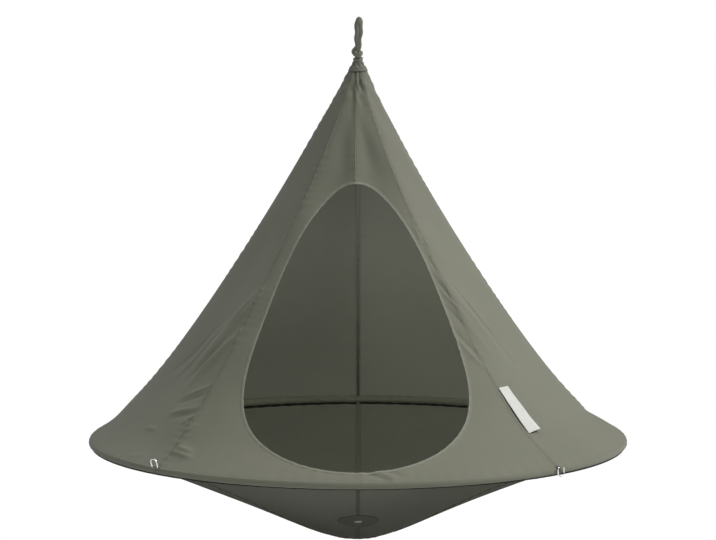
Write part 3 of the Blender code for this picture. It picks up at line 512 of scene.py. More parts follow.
# Shapes
class TentShape:
    """The tent's surfaces as functions of azimuth and height or radius, on whole arrays."""

    def __init__(self, sizes):
        self.sizes = sizes
        self.foot = sizes.hem_radius + FIT_GAP
        self.neck = sizes.canopy_height - sizes.neck_drop
        self.ring_z = -sizes.loop_reach - (sizes.canopy_height - KNOT_DROP)
        self.cone_reach = sizes.hoop_radius - sizes.neck_radius - sizes.flare_reach
        self.door_middle = (sizes.door_top + sizes.door_bottom) / 2
        self.heights = np.linspace(CANOPY_LOW, self.neck, 400)
        self.slants = run_length(pairs(self.heights, self.radius(self.heights)))

    def radius(self, height):
        """Canopy radius at a seam: neck + cone * (1 - share)^1.13 + flare * exp(-rise / fade), a little
        more at the foot, where the cloth goes over the hoop, and a little less half way up."""
        rise = height - self.foot
        share = np.clip(rise / (self.sizes.canopy_height - self.foot), 0.0, 1.0)
        cone = self.cone_reach * (1 - share) ** CANOPY_CURVE
        flare = self.sizes.flare_reach * np.exp(-rise / self.sizes.flare_fade)
        flare = flare + FOOT_SHIFT * np.exp(-rise / FOOT_FADE)
        hollow = SIDE_HOLLOW * np.maximum(0.0, 1 - (2 * height / HOLLOW_TOP - 1) ** 2)
        return self.sizes.neck_radius + cone + flare - hollow

    def slant(self, height):
        """Length of cloth from the foot up to a height, along a seam."""
        return np.interp(height, self.heights, self.slants)

    def height_at(self, slant):
        """Height at a length of cloth up from the foot."""
        return np.interp(slant, self.slants, self.heights)

    def ridges(self, folds, azimuth, height, sharpness=2.0):
        """Sum of ridges, each top * 4 s (1 - s) * exp(-|off / width|^sharpness) along its own line."""
        total = 0.0 * azimuth * height
        for start, low, end, high, width, top in folds:
            reach = float(self.radius(np.array((low + high) / 2)))
            along = np.array([math.radians(end - start) * reach, high - low])
            x, y = (azimuth - math.radians(start)) * reach, height - low
            share = (x * along[0] + y * along[1]) / along.dot(along)
            off = np.hypot(x - share * along[0], y - share * along[1])
            lift = top * 4 * share * (1 - share) * np.exp(-((off / width) ** sharpness))
            total = total + np.where((share > 0) & (share < 1), lift, 0.0)
        return total

    def canopy(self, azimuth, height):
        """Inner face of the canopy: panels flatten between the seams away from the hoop, partly as
        1 - (2 a - 1)^2 and partly as sin^2, which rounds the seams, the diagonal seams draw towards the
        front and rear as they climb, the two front panels flatten into one above the doorway, and all but
        the rear leans to -X between the hoop and the neck."""
        rise = height - self.foot
        share = np.maximum(rise, 0.0) / (self.sizes.canopy_height - self.foot)
        below_neck = 1 - np.clip(rise / (self.neck - self.foot), 0.0, 1.0) ** NECK_FADE
        front_flat = FRONT_FLATNESS * eased((height - FRONT_FLAT_START) / FRONT_FLAT_RUN) * below_neck
        from_front = (azimuth + math.pi) % TAU - math.pi
        lean = self.sizes.lean * eased((height - LEAN_START) / LEAN_RUN) * below_neck
        lean = lean * (1 - eased((np.abs(from_front) - LEAN_REACH) / LEAN_FADE))
        drifted = azimuth - SEAM_DRIFT * share**SEAM_DRIFT_CURVE * np.sin(2 * azimuth)
        across = gore_place(azimuth)[3]
        flat = PANEL_FLATNESS * (1 - np.exp(-np.maximum(rise, 0.0) / FLATNESS_FADE))
        hollow = (1 - SEAM_SOFTNESS) * (1 - (2 * across - 1) ** 2)
        hollow = hollow + SEAM_SOFTNESS * np.sin(math.pi * across) ** 2
        sink = flat * (1 - math.cos(GORE_ANGLE / 2)) * hollow
        middle = np.maximum(0.0, 1 - (from_front / GORE_ANGLE) ** 2)
        sink = sink + front_flat * (1 - math.cos(GORE_ANGLE)) * middle
        radius = self.radius(height) * (1 - sink) + self.ridges(TENSION_FOLDS, azimuth, height)
        spot = radius[..., None] * front(drifted)
        return spot + np.stack(np.broadcast_arrays(-lean, 0.0, height + self.ring_z), -1)

    def canopy_normal(self, azimuth, height):
        """Outward normal of the canopy, from two short steps over its surface."""
        step = 0.002
        around = self.canopy(azimuth + step, height) - self.canopy(azimuth - step, height)
        upwards = self.canopy(azimuth, height + step) - self.canopy(azimuth, height - step)
        return unit(np.cross(around, upwards))

    def relief(self, azimuth, height):
        """How far the cloth stands off its smooth shape: puckers at the seams and the hoop, gathers at
        the neck, slack waves in each panel, and fine creases."""
        rise = height - self.foot
        reach = self.radius(height)
        slant = self.slant(height)
        seam, off, panel, across = gore_place(azimuth)
        phase = TAU * slant / SEAM_PUCKER_LENGTH + 2.1 * seam + 2.2 * np.sin(TAU * slant / 0.19 + seam)
        uneven = eased(0.5 + 0.9 * np.sin(TAU * slant / 0.41 + 2.7 * seam))
        total = SEAM_PUCKER * uneven * np.exp(-((off * reach / SEAM_PUCKER_REACH) ** 2)) * np.sin(phase)
        hump = np.sin(math.pi * across) * (1 - np.exp(-np.maximum(rise, 0.0) / 0.06))
        total += LONG_WAVE * hump * np.sin(TAU * slant / LONG_WAVE_LENGTH + 1.9 * panel)
        slanting = slant / SHORT_WAVE_LENGTH + 0.8 * across
        total += SHORT_WAVE * hump * np.sin(TAU * slanting + 2.7 * panel)
        at_hoop = np.exp(-rise / HOOP_PUCKER_FADE)
        total += HOOP_PUCKER * at_hoop * np.sin(108 * azimuth + 2 * np.sin(5 * azimuth))
        gather = eased((height - GATHER_START) / GATHER_RUN)
        gather = gather * eased((self.neck - GATHER_STOP - height) / GATHER_FADE)
        twist = 9 * azimuth + 120 * height + 1.2 * np.sin(3 * azimuth)
        total += GATHER_DEPTH * reach * gather * (np.sin(twist) + 0.8 * np.sin(190 * height - 10 * azimuth))
        total += CREASE_SCALE * self.ridges(CREASES, azimuth, height, CREASE_SHARPNESS)
        return total

    def cloth(self, azimuth, height, lift=0.0):
        """Middle of the canopy cloth with its relief, moved outwards by a lift."""
        azimuth, height = np.broadcast_arrays(np.asarray(azimuth, float), np.asarray(height, float))
        out = self.relief(azimuth, height) + lift + CLOTH_MIDDLE
        return self.canopy(azimuth, height) + out[..., None] * self.canopy_normal(azimuth, height)

    def over_hoop(self, azimuth, polar, reach):
        """Points round the hoop's tube: a reach from its centre line, at a polar angle from outwards."""
        centre = (self.sizes.hoop_radius + reach * np.cos(polar))[..., None] * front(azimuth)
        return above(centre, self.ring_z + reach * np.sin(polar))

    def azimuth_at(self, x, height):
        """Azimuth, near the front, of the canopy point that lies x to the right at a height."""
        azimuth = 0.0 * x
        for _ in range(40):
            azimuth = azimuth + (x - self.canopy(azimuth, height)[..., 0]) / self.radius(height)
        return azimuth

    def door_edge(self, turn, outwards=0.0):
        """The doorway's outline in front view, (x, height), moved outwards by a distance."""
        half = (self.sizes.door_top - self.sizes.door_bottom) / 2

        def spot(t):
            c = np.cos(t)
            swell = 1 - DOOR_TAPER * c + DOOR_SQUARENESS * c * c - DOOR_DROOP * c**3
            half_width = self.sizes.door_share * self.sizes.hoop_radius * np.sin(t) * swell
            return pairs(self.sizes.door_shift + half_width, self.door_middle + half * c)

        along = unit(spot(turn + 0.001) - spot(turn - 0.001))
        return spot(turn) + outwards * np.stack([-along[..., 1], along[..., 0]], -1)

    def snapped_to_door(self, azimuth, height, outwards):
        """Cut the doorway in a grid: points inside it that touch a cell outside move to the nearest
        point of the outline. Returns the grids of azimuth and height, and which cells to keep."""

        def from_middle(x, height):
            """Bearing and distance from the doorway's middle."""
            x, height = x - self.sizes.door_shift, height - self.door_middle
            return np.arctan2(x, height), np.hypot(x, height)

        outline = self.door_edge(TAU * (np.arange(720) + 0.5) / 720, outwards)
        x = self.canopy(azimuth, height)[..., 0]
        bearing, far = from_middle(x, height)
        inside = far < np.interp(bearing, *from_middle(*outline.T), period=TAU)
        keep = ~corners(inside).all(-1)
        touched = np.zeros_like(inside)
        for rows, columns in ((0, 0), (0, 1), (1, 1), (1, 0)):
            touched[rows : rows + keep.shape[0], columns : columns + keep.shape[1]] |= keep
        edge = inside & touched
        spots = pairs(x, height)[edge]
        nearest = np.linalg.norm(spots[:, None] - outline[None], axis=-1).argmin(1)
        azimuth, height = azimuth.copy(), height.copy()
        height[edge] = outline[nearest, 1]
        azimuth[edge] = self.azimuth_at(outline[nearest, 0], outline[nearest, 1])
        return azimuth, height, keep

    def bowl_height(self, radius):
        """Height of the bowl's inner face: a shallow cone with a rounded tip that eases up to the hoop."""
        sizes = self.sizes

        def cone(reach):
            return sizes.bowl_slope * (np.hypot(reach, sizes.bowl_tip) - sizes.bowl_tip) - sizes.bowl_depth

        ease = cone(sizes.bowl_edge) + self.foot
        return cone(radius) - ease * (radius / sizes.bowl_edge) ** sizes.bowl_rim_curve

    def bowl_fall(self, radius):
        """Slope of the bowl's inner face, from two short steps."""
        step = 0.001
        return (self.bowl_height(radius + step) - self.bowl_height(radius - step)) / (2 * step)

    def bowl(self, azimuth, radius, lift=0.0):
        """Middle of the bowl cloth, moved outwards by a lift: gathered at the hoop, puckered at the
        seams, with a slack wave in each panel, and hanging a little fuller on its left side."""
        azimuth, radius = np.broadcast_arrays(np.asarray(azimuth, float), np.asarray(radius, float))
        normal = unit(above(self.bowl_fall(radius)[..., None] * front(azimuth), -np.ones_like(radius)))
        seam, off, panel, across = gore_place(azimuth)
        gather = np.exp((radius - self.sizes.bowl_edge) / BOWL_GATHER_FADE)
        belly = 4 * (radius / self.sizes.bowl_edge) * (1 - radius / self.sizes.bowl_edge)
        near_seam = np.exp(-((off * radius / BOWL_PUCKER_REACH) ** 2))
        wave = np.sin(math.pi * across) * np.sin(TAU * radius / BOWL_WAVE_LENGTH + 1.3 * panel)
        out = BOWL_GATHER * gather * np.sin(96 * azimuth + 1.6 * np.sin(7 * azimuth))
        out += BOWL_PUCKER * near_seam * np.sin(TAU * radius / BOWL_PUCKER_LENGTH + 2.3 * seam)
        out += BOWL_WAVE * (1 - gather) * wave * eased(radius / 0.2)
        out = out + lift + CLOTH_MIDDLE + belly * (BELLY - BELLY_TO_LEFT * np.sin(azimuth))
        points = above(radius[..., None] * front(azimuth), self.bowl_height(radius) + self.ring_z)
        return points + out[..., None] * normal


# Finishes
def operator_of(operation, swapped=False):
    """The method for one arithmetic operator, which adds its Math node."""

    def act(self, other):
        inputs = (other, self) if swapped else (self, other)
        return self.paint.node("ShaderNodeMath", {"operation": operation}, inputs)

    return act


class Value:
    """A shader socket as a number: an expression on values adds its Math nodes."""

    def __init__(self, paint, socket):
        self.paint, self.socket = paint, socket

    __add__, __radd__ = operator_of("ADD"), operator_of("ADD", True)
    __sub__, __rsub__ = operator_of("SUBTRACT"), operator_of("SUBTRACT", True)
    __mul__, __rmul__ = operator_of("MULTIPLY"), operator_of("MULTIPLY", True)
    __truediv__, __rtruediv__ = operator_of("DIVIDE"), operator_of("DIVIDE", True)
    __mod__ = operator_of("FLOORED_MODULO")

    def of(self, operation):
        """A Math node with one input."""
        return self.paint.node("ShaderNodeMath", {"operation": operation}, (self,))

    def out(self, name):
        """Another output of the same node."""
        return Value(self.paint, self.socket.node.outputs[name])

    def between(self, low, high):
        """0 below low, 1 above high and a smooth step between them."""
        settings = {"interpolation_type": "SMOOTHSTEP"}
        return self.paint.node("ShaderNodeMapRange", settings, {0: self, 1: low, 2: high, 3: 0.0, 4: 1.0})


class Paint:
    """A Principled material under construction."""

    def __init__(self, name, **constants):
        self.material = bpy.data.materials.new(name)
        self.material.use_nodes = True
        self.tree = self.material.node_tree
        self.shader = self.tree.nodes["Principled BSDF"]
        self.place = self.node("ShaderNodeTexCoord", {}, (), "Object")
        for socket, value in constants.items():
            self.feed(self.shader.inputs[socket.replace("_", " ")], value)

    def feed(self, socket, value):
        """Link a value to a socket, or set the socket to a number, colour or vector."""
        if isinstance(value, Value):
            self.tree.links.new(value.socket, socket)
        elif isinstance(value, (tuple, list)) and len(socket.default_value) == 4:
            socket.default_value = (*value[:3], 1.0)
        else:
            socket.default_value = value

    def node(self, kind, settings, inputs=(), output=0):
        """Add a node: its settings first, then the values or links of its sockets."""
        node = self.tree.nodes.new(kind)
        for name, value in settings.items():
            setattr(node, name, value)
        for key, value in inputs.items() if isinstance(inputs, dict) else enumerate(inputs):
            self.feed(node.inputs[key], value)
        return Value(self, node.outputs[output])

    def uv(self):
        """The two UV coordinates, in metres over the cloth."""
        split = self.node("ShaderNodeSeparateXYZ", {}, (self.node("ShaderNodeUVMap", {"uv_map": "UVMap"}),))
        return split, split.out("Y")

    def vector(self, x, y):
        """A vector from two values."""
        return self.node("ShaderNodeCombineXYZ", {}, (x, y))

    def noise(self, scale, detail=2.0, roughness=0.5, where=None):
        """Noise from about 0 to 1, with its middle at 0.5, at a place or else in Object coordinates."""
        inputs = {"Vector": where or self.place, "Scale": scale, "Detail": detail, "Roughness": roughness}
        return self.node("ShaderNodeTexNoise", {}, inputs)

    def mix(self, share, first, second):
        """A colour between two."""
        return self.node("ShaderNodeMix", {"data_type": "RGBA"}, {0: share, 6: first, 7: second}, 2)

    def scaled(self, colour, factor):
        """A colour made lighter or darker by a factor."""
        return self.node("ShaderNodeVectorMath", {"operation": "SCALE"}, {0: colour, "Scale": factor})

    def sew(self, colour, thread, pitch, rows):
        """Rows of stitches in the thread's colour, each row given as the values across it and along it and
        its distance from the edge. Returns the colour, and 1 on the thread and 0 off it."""
        sewn = 0.0
        for across, along, distance in rows:
            row = 1 - ((across - distance).of("ABSOLUTE")).between(0.0004, 0.0008)
            dash = 1 - (((along / pitch) % 1.0 - 0.5).of("ABSOLUTE")).between(0.30, 0.36)
            sewn = sewn + row * dash
        return (self.mix(sewn, colour, thread) if rows else colour), sewn

    def let_through(self, light, share):
        """Let a share of the light through the cloth, in a colour."""
        through = self.node("ShaderNodeBsdfTranslucent", {}, {"Color": light})
        surface = self.node("ShaderNodeMixShader", {}, {"Fac": share})
        self.tree.links.new(self.shader.outputs[0], surface.socket.node.inputs[1])
        self.tree.links.new(through.socket, surface.socket.node.inputs[2])
        self.tree.links.new(surface.socket, self.tree.nodes["Material Output"].inputs["Surface"])

    def finish(self, colour, roughness, height, depth):
        """Join colour, roughness and a bump height, in metres when depth is 1, to the shader."""
        self.feed(self.shader.inputs["Base Color"], colour)
        self.feed(self.shader.inputs["Roughness"], roughness)
        bump = self.node("ShaderNodeBump", {}, {"Strength": 1.0, "Distance": depth, "Height": height})
        self.feed(self.shader.inputs["Normal"], bump)
        return self.material


def weave(u, v, pitch):
    """Plain weave, from 0 to 1: warp and weft threads that pass over each other in turn."""
    warp, weft = (u * (math.pi / pitch)).of("SINE"), (v * (math.pi / pitch)).of("SINE")
    return warp * weft * 0.35 + warp.of("ABSOLUTE") * 0.35 + weft.of("ABSOLUTE") * 0.3


def canvas(
    name, base, sizes, thread, edges=(), foot_rows=(), through=None, painted_rim_shade=None, sheen=0.15, fade=None
):
    """Woven canvas: tone that drifts over the cloth, slubs along both threads, and rows of stitches at
    distances from u = 0 (edges) and from v = 0 (foot rows). A share of the light comes through in its own
    colour. The rim shade is painted shade: a width from v = 0 and the share of the tone that is left there.
    The fade is painted shade too: where the tone starts and ends to fade along v and the share that it loses."""
    paint = Paint(name, Sheen_Weight=sheen, Sheen_Roughness=0.5, Specular_IOR_Level=sheen * 1.6)
    u, v = paint.uv()
    drift, mottle = paint.noise(3.5), paint.noise(22.0, 4.0, 0.6)
    slub = paint.noise(1.0, where=paint.vector(u * 420.0, v * 14.0))
    slub = slub + paint.noise(1.0, where=paint.vector(u * 14.0, v * 420.0))
    threads = weave(u, v, sizes.thread_pitch)
    tone = 1.0 + (drift - 0.5) * 0.12 + (mottle - 0.5) * 0.12 + (slub - 1.0) * 0.10 + (threads - 0.45) * 0.08
    rows = [(u.of("ABSOLUTE"), v, distance) for distance in edges]
    rows += [(v, u, distance) for distance in foot_rows]
    colour, sewn = paint.sew(paint.scaled(base, tone), thread, sizes.stitch_pitch, rows)
    height = threads * 0.10 + (mottle - 0.5) * 0.7 + (slub - 1.0) * 0.12 + sewn * 0.3
    share = LIGHT_SHARE
    # Painted shade along the rim: the tone, and the light let through, drop within a width of v = 0
    if painted_rim_shade:
        kept = painted_rim_shade[1] + v.between(painted_rim_shade[0] - 0.001, painted_rim_shade[0] + 0.001) * (1 - painted_rim_shade[1])
        colour, share = paint.scaled(colour, kept), kept * share
    # Painted shade that grows along v: on the canopy lining it darkens the inside towards the top
    if fade:
        kept = 1 - v.between(fade[0], fade[1]) * fade[2]
        colour, share = paint.scaled(colour, kept), kept * share
    if through:
        paint.let_through(through, share)
    return paint.finish(colour, 0.88 + (mottle - 0.5) * 0.12, height, 0.0010)


def sleeve_canvas_painted_light_and_shade(name, outer, inner, sizes):
    """Canvas of the hoop's sleeve: painted shade in one colour on its outward half, and painted light in
    another on its inner half.
    """
    paint = Paint(name, Sheen_Weight=0.04, Sheen_Roughness=0.5, Specular_IOR_Level=0.10)
    u, v = paint.uv()
    mottle = paint.noise(30.0, 4.0, 0.6)
    threads = weave(u, v, sizes.thread_pitch)
    half = math.pi * sizes.hem_radius
    # Painted light on the inner half of the sleeve, painted shade on its outward half
    painted_light_half = 1 - ((u - half).of("ABSOLUTE")).between(half * 0.5, half * 0.56)
    tone = 1.0 + (mottle - 0.5) * 0.16 + (threads - 0.45) * 0.10
    colour = paint.scaled(paint.mix(painted_light_half, outer, inner), tone)
    height = threads * 0.10 + (mottle - 0.5) * 0.7
    return paint.finish(colour, 0.88 + (mottle - 0.5) * 0.12, height, 0.0010)


def tape(name, base, sizes, thread, rows=(), sheen=0.10):
    """Twill tape or webbing: fine slanting ribs, and rows of stitches at distances from one edge."""
    paint = Paint(name, Sheen_Weight=sheen, Specular_IOR_Level=sheen * 2.5)
    u, v = paint.uv()
    rib = ((u + v) * (TAU / 0.0016)).of("SINE")
    mottle = paint.noise(45.0, 3.0, 0.6)
    colour = paint.scaled(base, 1.0 + (mottle - 0.5) * 0.22 + rib * 0.05)
    colour, sewn = paint.sew(colour, thread, sizes.stitch_pitch, [(u, v, distance) for distance in rows])
    height = rib * 0.12 + (mottle - 0.5) * 0.5 + sewn * 0.3
    return paint.finish(colour, 0.82 + (mottle - 0.5) * 0.15, height, 0.0008)


def rope_finish(name, base, sizes):
    """Braided rope: fibres that follow the braid, painted shade between the strands and painted light on their
    crowns, with a little fuzz.
    """
    paint = Paint(name, Sheen_Weight=0.20, Specular_IOR_Level=0.25)
    u, v = paint.uv()
    turn, twist = u / sizes.rope_radius, v * BRAID_TWIST
    crown = ((turn + twist) * BRAID_STRANDS).of("COSINE") * ((turn - twist) * BRAID_STRANDS).of("COSINE")
    fibre = paint.noise(1.0, 3.0, 0.7, where=paint.vector(u * 900.0, v * 900.0))
    drift = paint.noise(60.0)
    # The crown term paints light on the strands' tops and shade in the grooves between them
    tone = 0.92 + crown * 0.22 + (fibre - 0.5) * 0.35 + (drift - 0.5) * 0.30
    height = crown * 0.3 + fibre * 0.3
    return paint.finish(paint.scaled(base, tone), 0.9 + (fibre - 0.5) * 0.15, height, 0.0006)


def metal(name, base, roughness, brushed=0.0):
    """Bare metal: fine scratches, a little tarnish and uneven polish."""
    paint = Paint(name, Metallic=1.0)
    scratches, tarnish = paint.noise(900.0, 3.0, 0.7), paint.noise(70.0, 4.0, 0.6)
    tone = 1.0 - tarnish.between(0.5, 0.8) * 0.25 + (scratches - 0.5) * 0.10
    rough = roughness + (scratches - 0.5) * 0.18 + tarnish.between(0.45, 0.8) * 0.15
    return paint.finish(paint.scaled(base, tone), rough, scratches * (0.2 + brushed), 0.0002)


def label_finish(name, base):
    """Blank woven label: close satin ribs over fine warp threads, and faint handling marks."""
    paint = Paint(name, Sheen_Weight=0.25, Specular_IOR_Level=0.35)
    u, v = paint.uv()
    ribs = (v * (TAU / 0.0011)).of("SINE")
    warp = (u * (TAU / 0.0007)).of("SINE")
    marks = paint.noise(55.0, 3.0, 0.6)
    tone = 1.0 + ribs * 0.03 + warp * 0.02 - marks.between(0.52, 0.75) * 0.10
    height = ribs * 0.2 + warp * 0.1 + (marks - 0.5) * 0.4
    return paint.finish(paint.scaled(base, tone), 0.62 + (marks - 0.5) * 0.2, height, 0.0005)


def elastic_finish(name, base):
    """Elastic cord: a fine dark braid."""
    paint = Paint(name, Sheen_Weight=0.10)
    braid = paint.noise(800.0)
    colour = paint.scaled(base, 0.8 + braid * 0.5)
    return paint.finish(colour, 0.75 + (braid - 0.5) * 0.1, braid, 0.0004)


# Operators
def tent_of(context):
    """The scene's sizes and the shape that they give."""
    return context.scene.tent_sizes, TentShape(context.scene.tent_sizes)


class TENT_OT_stage(bpy.types.Operator):
    """Camera at the photograph's viewing angle, pale floor, plain world and soft lights"""

    bl_idname = "hanging_tent.stage"
    bl_label = "Stage"

    def execute(self, context):
        scene = context.scene
        camera = bpy.data.objects.new("camera", bpy.data.cameras.new("camera"))
        camera.data.sensor_width = SENSOR_WIDTH
        camera.data.lens = CAMERA_LENS
        camera.data.clip_end = CAMERA_FAR
        camera.location = CAMERA_PLACE
        camera.rotation_euler = (math.radians(90 - CAMERA_FALL), 0.0, 0.0)
        scene.collection.objects.link(camera)
        scene.camera = camera
        scene.view_settings.view_transform = "Standard"
        for name, settings in LAMPS.items():
            self.add_sun(scene, name, *settings)
        self.add_world(scene)
        self.add_floor(scene.tent_colours.floor)
        return {"FINISHED"}

    def add_sun(self, scene, name, azimuth, elevation, strength, softness):
        """A distant soft light that comes from an azimuth and elevation."""
        light = bpy.data.lights.new(name, "SUN")
        light.energy = strength
        light.angle = math.radians(softness)
        lamp = bpy.data.objects.new(name, light)
        level = math.cos(math.radians(elevation)) * front(np.array(math.radians(azimuth)))
        towards = Vector((level[0], level[1], math.sin(math.radians(elevation))))
        lamp.rotation_mode = "QUATERNION"
        lamp.rotation_quaternion = towards.to_track_quat("Z", "Y")
        scene.collection.objects.link(lamp)

    def add_world(self, scene):
        """Even light from all round, with a white backdrop."""
        world = bpy.data.worlds.new("studio")
        world.use_nodes = True
        tree = world.node_tree
        backdrop = tree.nodes["Background"]
        backdrop.inputs["Color"].default_value = (1.0, 1.0, 1.0, 1.0)
        seen = tree.nodes.new("ShaderNodeLightPath")
        strength = tree.nodes.new("ShaderNodeMapRange")
        strength.inputs["To Min"].default_value = FILL_STRENGTH
        strength.inputs["To Max"].default_value = BACKDROP_STRENGTH
        tree.links.new(seen.outputs["Is Camera Ray"], strength.inputs["Value"])
        tree.links.new(strength.outputs[0], backdrop.inputs["Strength"])
        scene.world = world

    def add_floor(self, base):
        """A wide pale disc under the tent."""
        radii, turns = np.array(FLOOR_RADII), whole_turn(96)
        points = above(radii[:, None, None] * front(turns), np.full((len(radii), len(turns)), FLOOR_HEIGHT))
        paint = Paint("studio_floor")
        grain = paint.noise(2.0, 3.0)
        material = paint.finish(paint.scaled(base, 0.99 + grain * 0.02), 0.9 + grain * 0.05, grain, 0.0002)
        uv = pairs(whole_turn(96, True)[None], radii[:, None])
        surface = Surface().grid(points[::-1], uv[::-1], around=True, caps=(False, True))
        surface.piece("studio_floor", material)


class TENT_OT_rope_loop(bpy.types.Operator):
    """Braided rope loop that the tent hangs from"""

    bl_idname = "hanging_tent.rope_loop"
    bl_label = "Rope loop"

    def execute(self, context):
        sizes = context.scene.tent_sizes
        route = loop_route(sizes)
        across = np.broadcast_to(turned(np.array([0.0, 1.0, 0.0]), LOOP_TURN), route.shape)
        turn = np.linspace(-0.2 * math.pi, 2.5 * math.pi, 260)
        rise = WRAP_HEIGHT + WRAP_CLIMB * turn / math.pi + WRAP_TILT * np.sin(turn) - sizes.loop_reach
        wrap = turned(raised(ray(turn) * WRAP_HALF_WIDTHS, rise), LOOP_TURN)
        surface = Surface()
        add_rope(surface, route, across, sizes.rope_radius, sizes.rope_radius, 64)
        add_rope(surface, wrap, raised(ray(turn + LOOP_TURN), 0.0), WRAP_THICKNESS, WRAP_THICKNESS, 64)
        dress(surface.piece("rope_loop", FINISHES["rope"]), "suspension", "rope_olive", "suspension_loop")
        return {"FINISHED"}


def loop_route(sizes):
    """Centre line of the rope loop: two strands that spread by a smooth step into a round-topped eye,
    turned about Z, with a bulge to -X in the rear strand just above the knot."""
    eye = sizes.loop_reach + ROPE_SEAT - sizes.loop_eye
    share = np.linspace(0.0, 1.0, 170, endpoint=False)
    spread = LOOP_FOOT_SPREAD + (sizes.loop_eye - LOOP_FOOT_SPREAD) * eased(share)
    strand = pairs(spread, LOOP_FOOT_RISE + (eye - LOOP_FOOT_RISE) * share)
    arch = sizes.loop_eye * ray(np.linspace(0.0, math.pi, 120)) + (0.0, eye)
    x, height = np.concatenate([strand, arch, strand[::-1] * (-1, 1)]).T
    rise = np.minimum((height - LOOP_FOOT_RISE) / LOOP_BULGE_HEIGHT, 1.0)
    bulge = np.where(x < 0, LOOP_BULGE * np.sin(math.pi * rise) ** 2, 0.0)
    sway = LOOP_SWAY * np.sin(TAU * height / LOOP_SWAY_LENGTH)
    sway = sway + LOOP_LEAN * eased((height - LOOP_LEAN_START) / LOOP_LEAN_RUN)
    route = turned(raised(pairs(x, 0.0), height - sizes.loop_reach), LOOP_TURN)
    route[:, 0] += sway - bulge
    return route


def braided(radius, along, count):
    """Round profiles of a braid: radius * (1 + relief * cos n(t + ks) cos n(t - ks)) at each length s."""
    turn, twist = whole_turn(count), BRAID_TWIST * along[:, None]
    crown = np.cos(BRAID_STRANDS * (turn + twist)) * np.cos(BRAID_STRANDS * (turn - twist))
    return radius * (1 + BRAID_RELIEF * crown)[..., None] * ray(turn)


def add_rope(surface, path, facing, radius, uv_radius, count):
    """Add a braided rope with closed ends along a path."""
    points = swept(path, facing, braided(radius, run_length(path), count))
    uv = swept_uv(path, uv_radius * ray(whole_turn(count)))
    surface.grid(points, uv, around=True, caps=(True, True))


class TENT_OT_rope_knot(bpy.types.Operator):
    """Knot that the rope loop is tied in"""

    bl_idname = "hanging_tent.rope_knot"
    bl_label = "Rope knot"

    def execute(self, context):
        sizes = context.scene.tent_sizes
        centre = np.array([0.0, 0.0, -sizes.loop_reach])
        turn, share = np.linspace(-0.3 * math.pi, 4.1 * math.pi, 520), np.linspace(0.0, 1.0, 520)
        radius = COIL_RADIUS + COIL_SWELL * eased(np.minimum(share, 1 - share) / 0.07)
        coil = raised(radius[:, None] * ray(turn), COIL_HEIGHT * (0.5 - share))
        cross = np.linspace(-1.0, 1.0, 160)
        lean = STRAND_BEARING + 0.35 * cross
        hump = STRAND_REACH * np.sqrt(np.clip(1 - (0.88 * cross) ** 2, 0.0, 1.0)) + 0.0006
        strand = raised(hump[:, None] * ray(lean), STRAND_HALF_HEIGHT * cross)
        surface = Surface()
        for path, bearing, thick in ((coil, turn, COIL_THICKNESS), (strand, lean, STRAND_THICKNESS)):
            add_rope(surface, path + centre, raised(ray(bearing), 0.0), thick, sizes.rope_radius, 48)
        polar = np.linspace(0.02, math.pi - 0.02, 24)[:, None]
        core = KNOT_CORE * raised(np.sin(polar)[..., None] * ray(whole_turn(40)), -np.cos(polar))
        uv = pairs(KNOT_CORE / 2 * whole_turn(40, True)[None], KNOT_CORE * polar)
        surface.grid(core * (1, 1, 1.15) + centre, uv, around=True, caps=(True, True))
        dress(surface.piece("tied_knot", FINISHES["rope"]), "knot", "rope_olive", "rope_knot")
        return {"FINISHED"}


class TENT_OT_neck_collar(bpy.types.Operator):
    """Gathered cloth that the knot seats in"""

    bl_idname = "hanging_tent.neck_collar"
    bl_label = "Neck collar"

    def execute(self, context):
        sizes, shape = tent_of(context)
        bottom = shape.neck + 0.0013 - (sizes.canopy_height - KNOT_DROP)
        neck = float(shape.radius(np.array(shape.neck))) + 0.0020
        skirt = float(shape.radius(np.array(shape.neck - SKIRT_DROP))) + SKIRT_GAP
        outside = ((neck + 0.0002, bottom + 0.0012), (skirt + 0.0001, bottom - 0.0090))
        inside = ((skirt - 0.0003, bottom - 0.0091), (neck - 0.0006, bottom), (0.0020, bottom + 0.0004))
        stops = np.array(CUP_OUTLINE + outside + inside)
        steps = np.linspace(0, len(stops) - 1, 61)
        profile = np.stack([np.interp(steps, np.arange(len(stops)), column) for column in stops.T], -1)
        turns = whole_turn(176)
        fullness = eased((steps - 5) / 2) * eased((len(stops) - 4.2 - steps) / 1.8)
        lines = PLEATS * turns + 0.8 * np.sin(2 * turns) + PLEAT_TWIST * profile[:, 1:]
        pleats = 1 + PLEAT_DEPTH * fullness[:, None] * np.cos(lines)
        radius = profile[:, :1] * pleats
        points = above(radius[..., None] * front(turns), profile[:, 1:] - sizes.loop_reach + 0 * turns)
        uv = pairs(0.015 * whole_turn(176, True)[None], run_length(profile)[:, None])
        surface = Surface().grid(points[::-1], uv[::-1], around=True, caps=(True, True))
        dress(surface.piece("gathered_collar", FINISHES["collar"]), "collar", "collar_canvas", "neck_collar")
        return {"FINISHED"}


def canopy_grid(shape, start, columns, rows=228):
    """Azimuths and heights of a grid over two gores of the canopy, with so many columns for each gore:
    columns gather towards the seams, rows towards the foot."""
    step = np.arange(2 * columns + 1) / columns
    within = step % 1.0
    azimuth = start + GORE_ANGLE * (np.floor(step) + within - 0.10 * np.sin(TAU * within))
    lengths = np.linspace(0.0, 1.0, rows + 1)
    slant = shape.slants[-1] * (0.78 * lengths + 0.22 * lengths**2)
    return np.meshgrid(azimuth, shape.height_at(slant))


def seam_distance(azimuth):
    """Per face corner, the angle from the nearer seam. Its sign tells a gore's two sides apart."""
    a = corners(azimuth)
    return a - np.round(a.mean(-1, keepdims=True) / GORE_ANGLE) * GORE_ANGLE


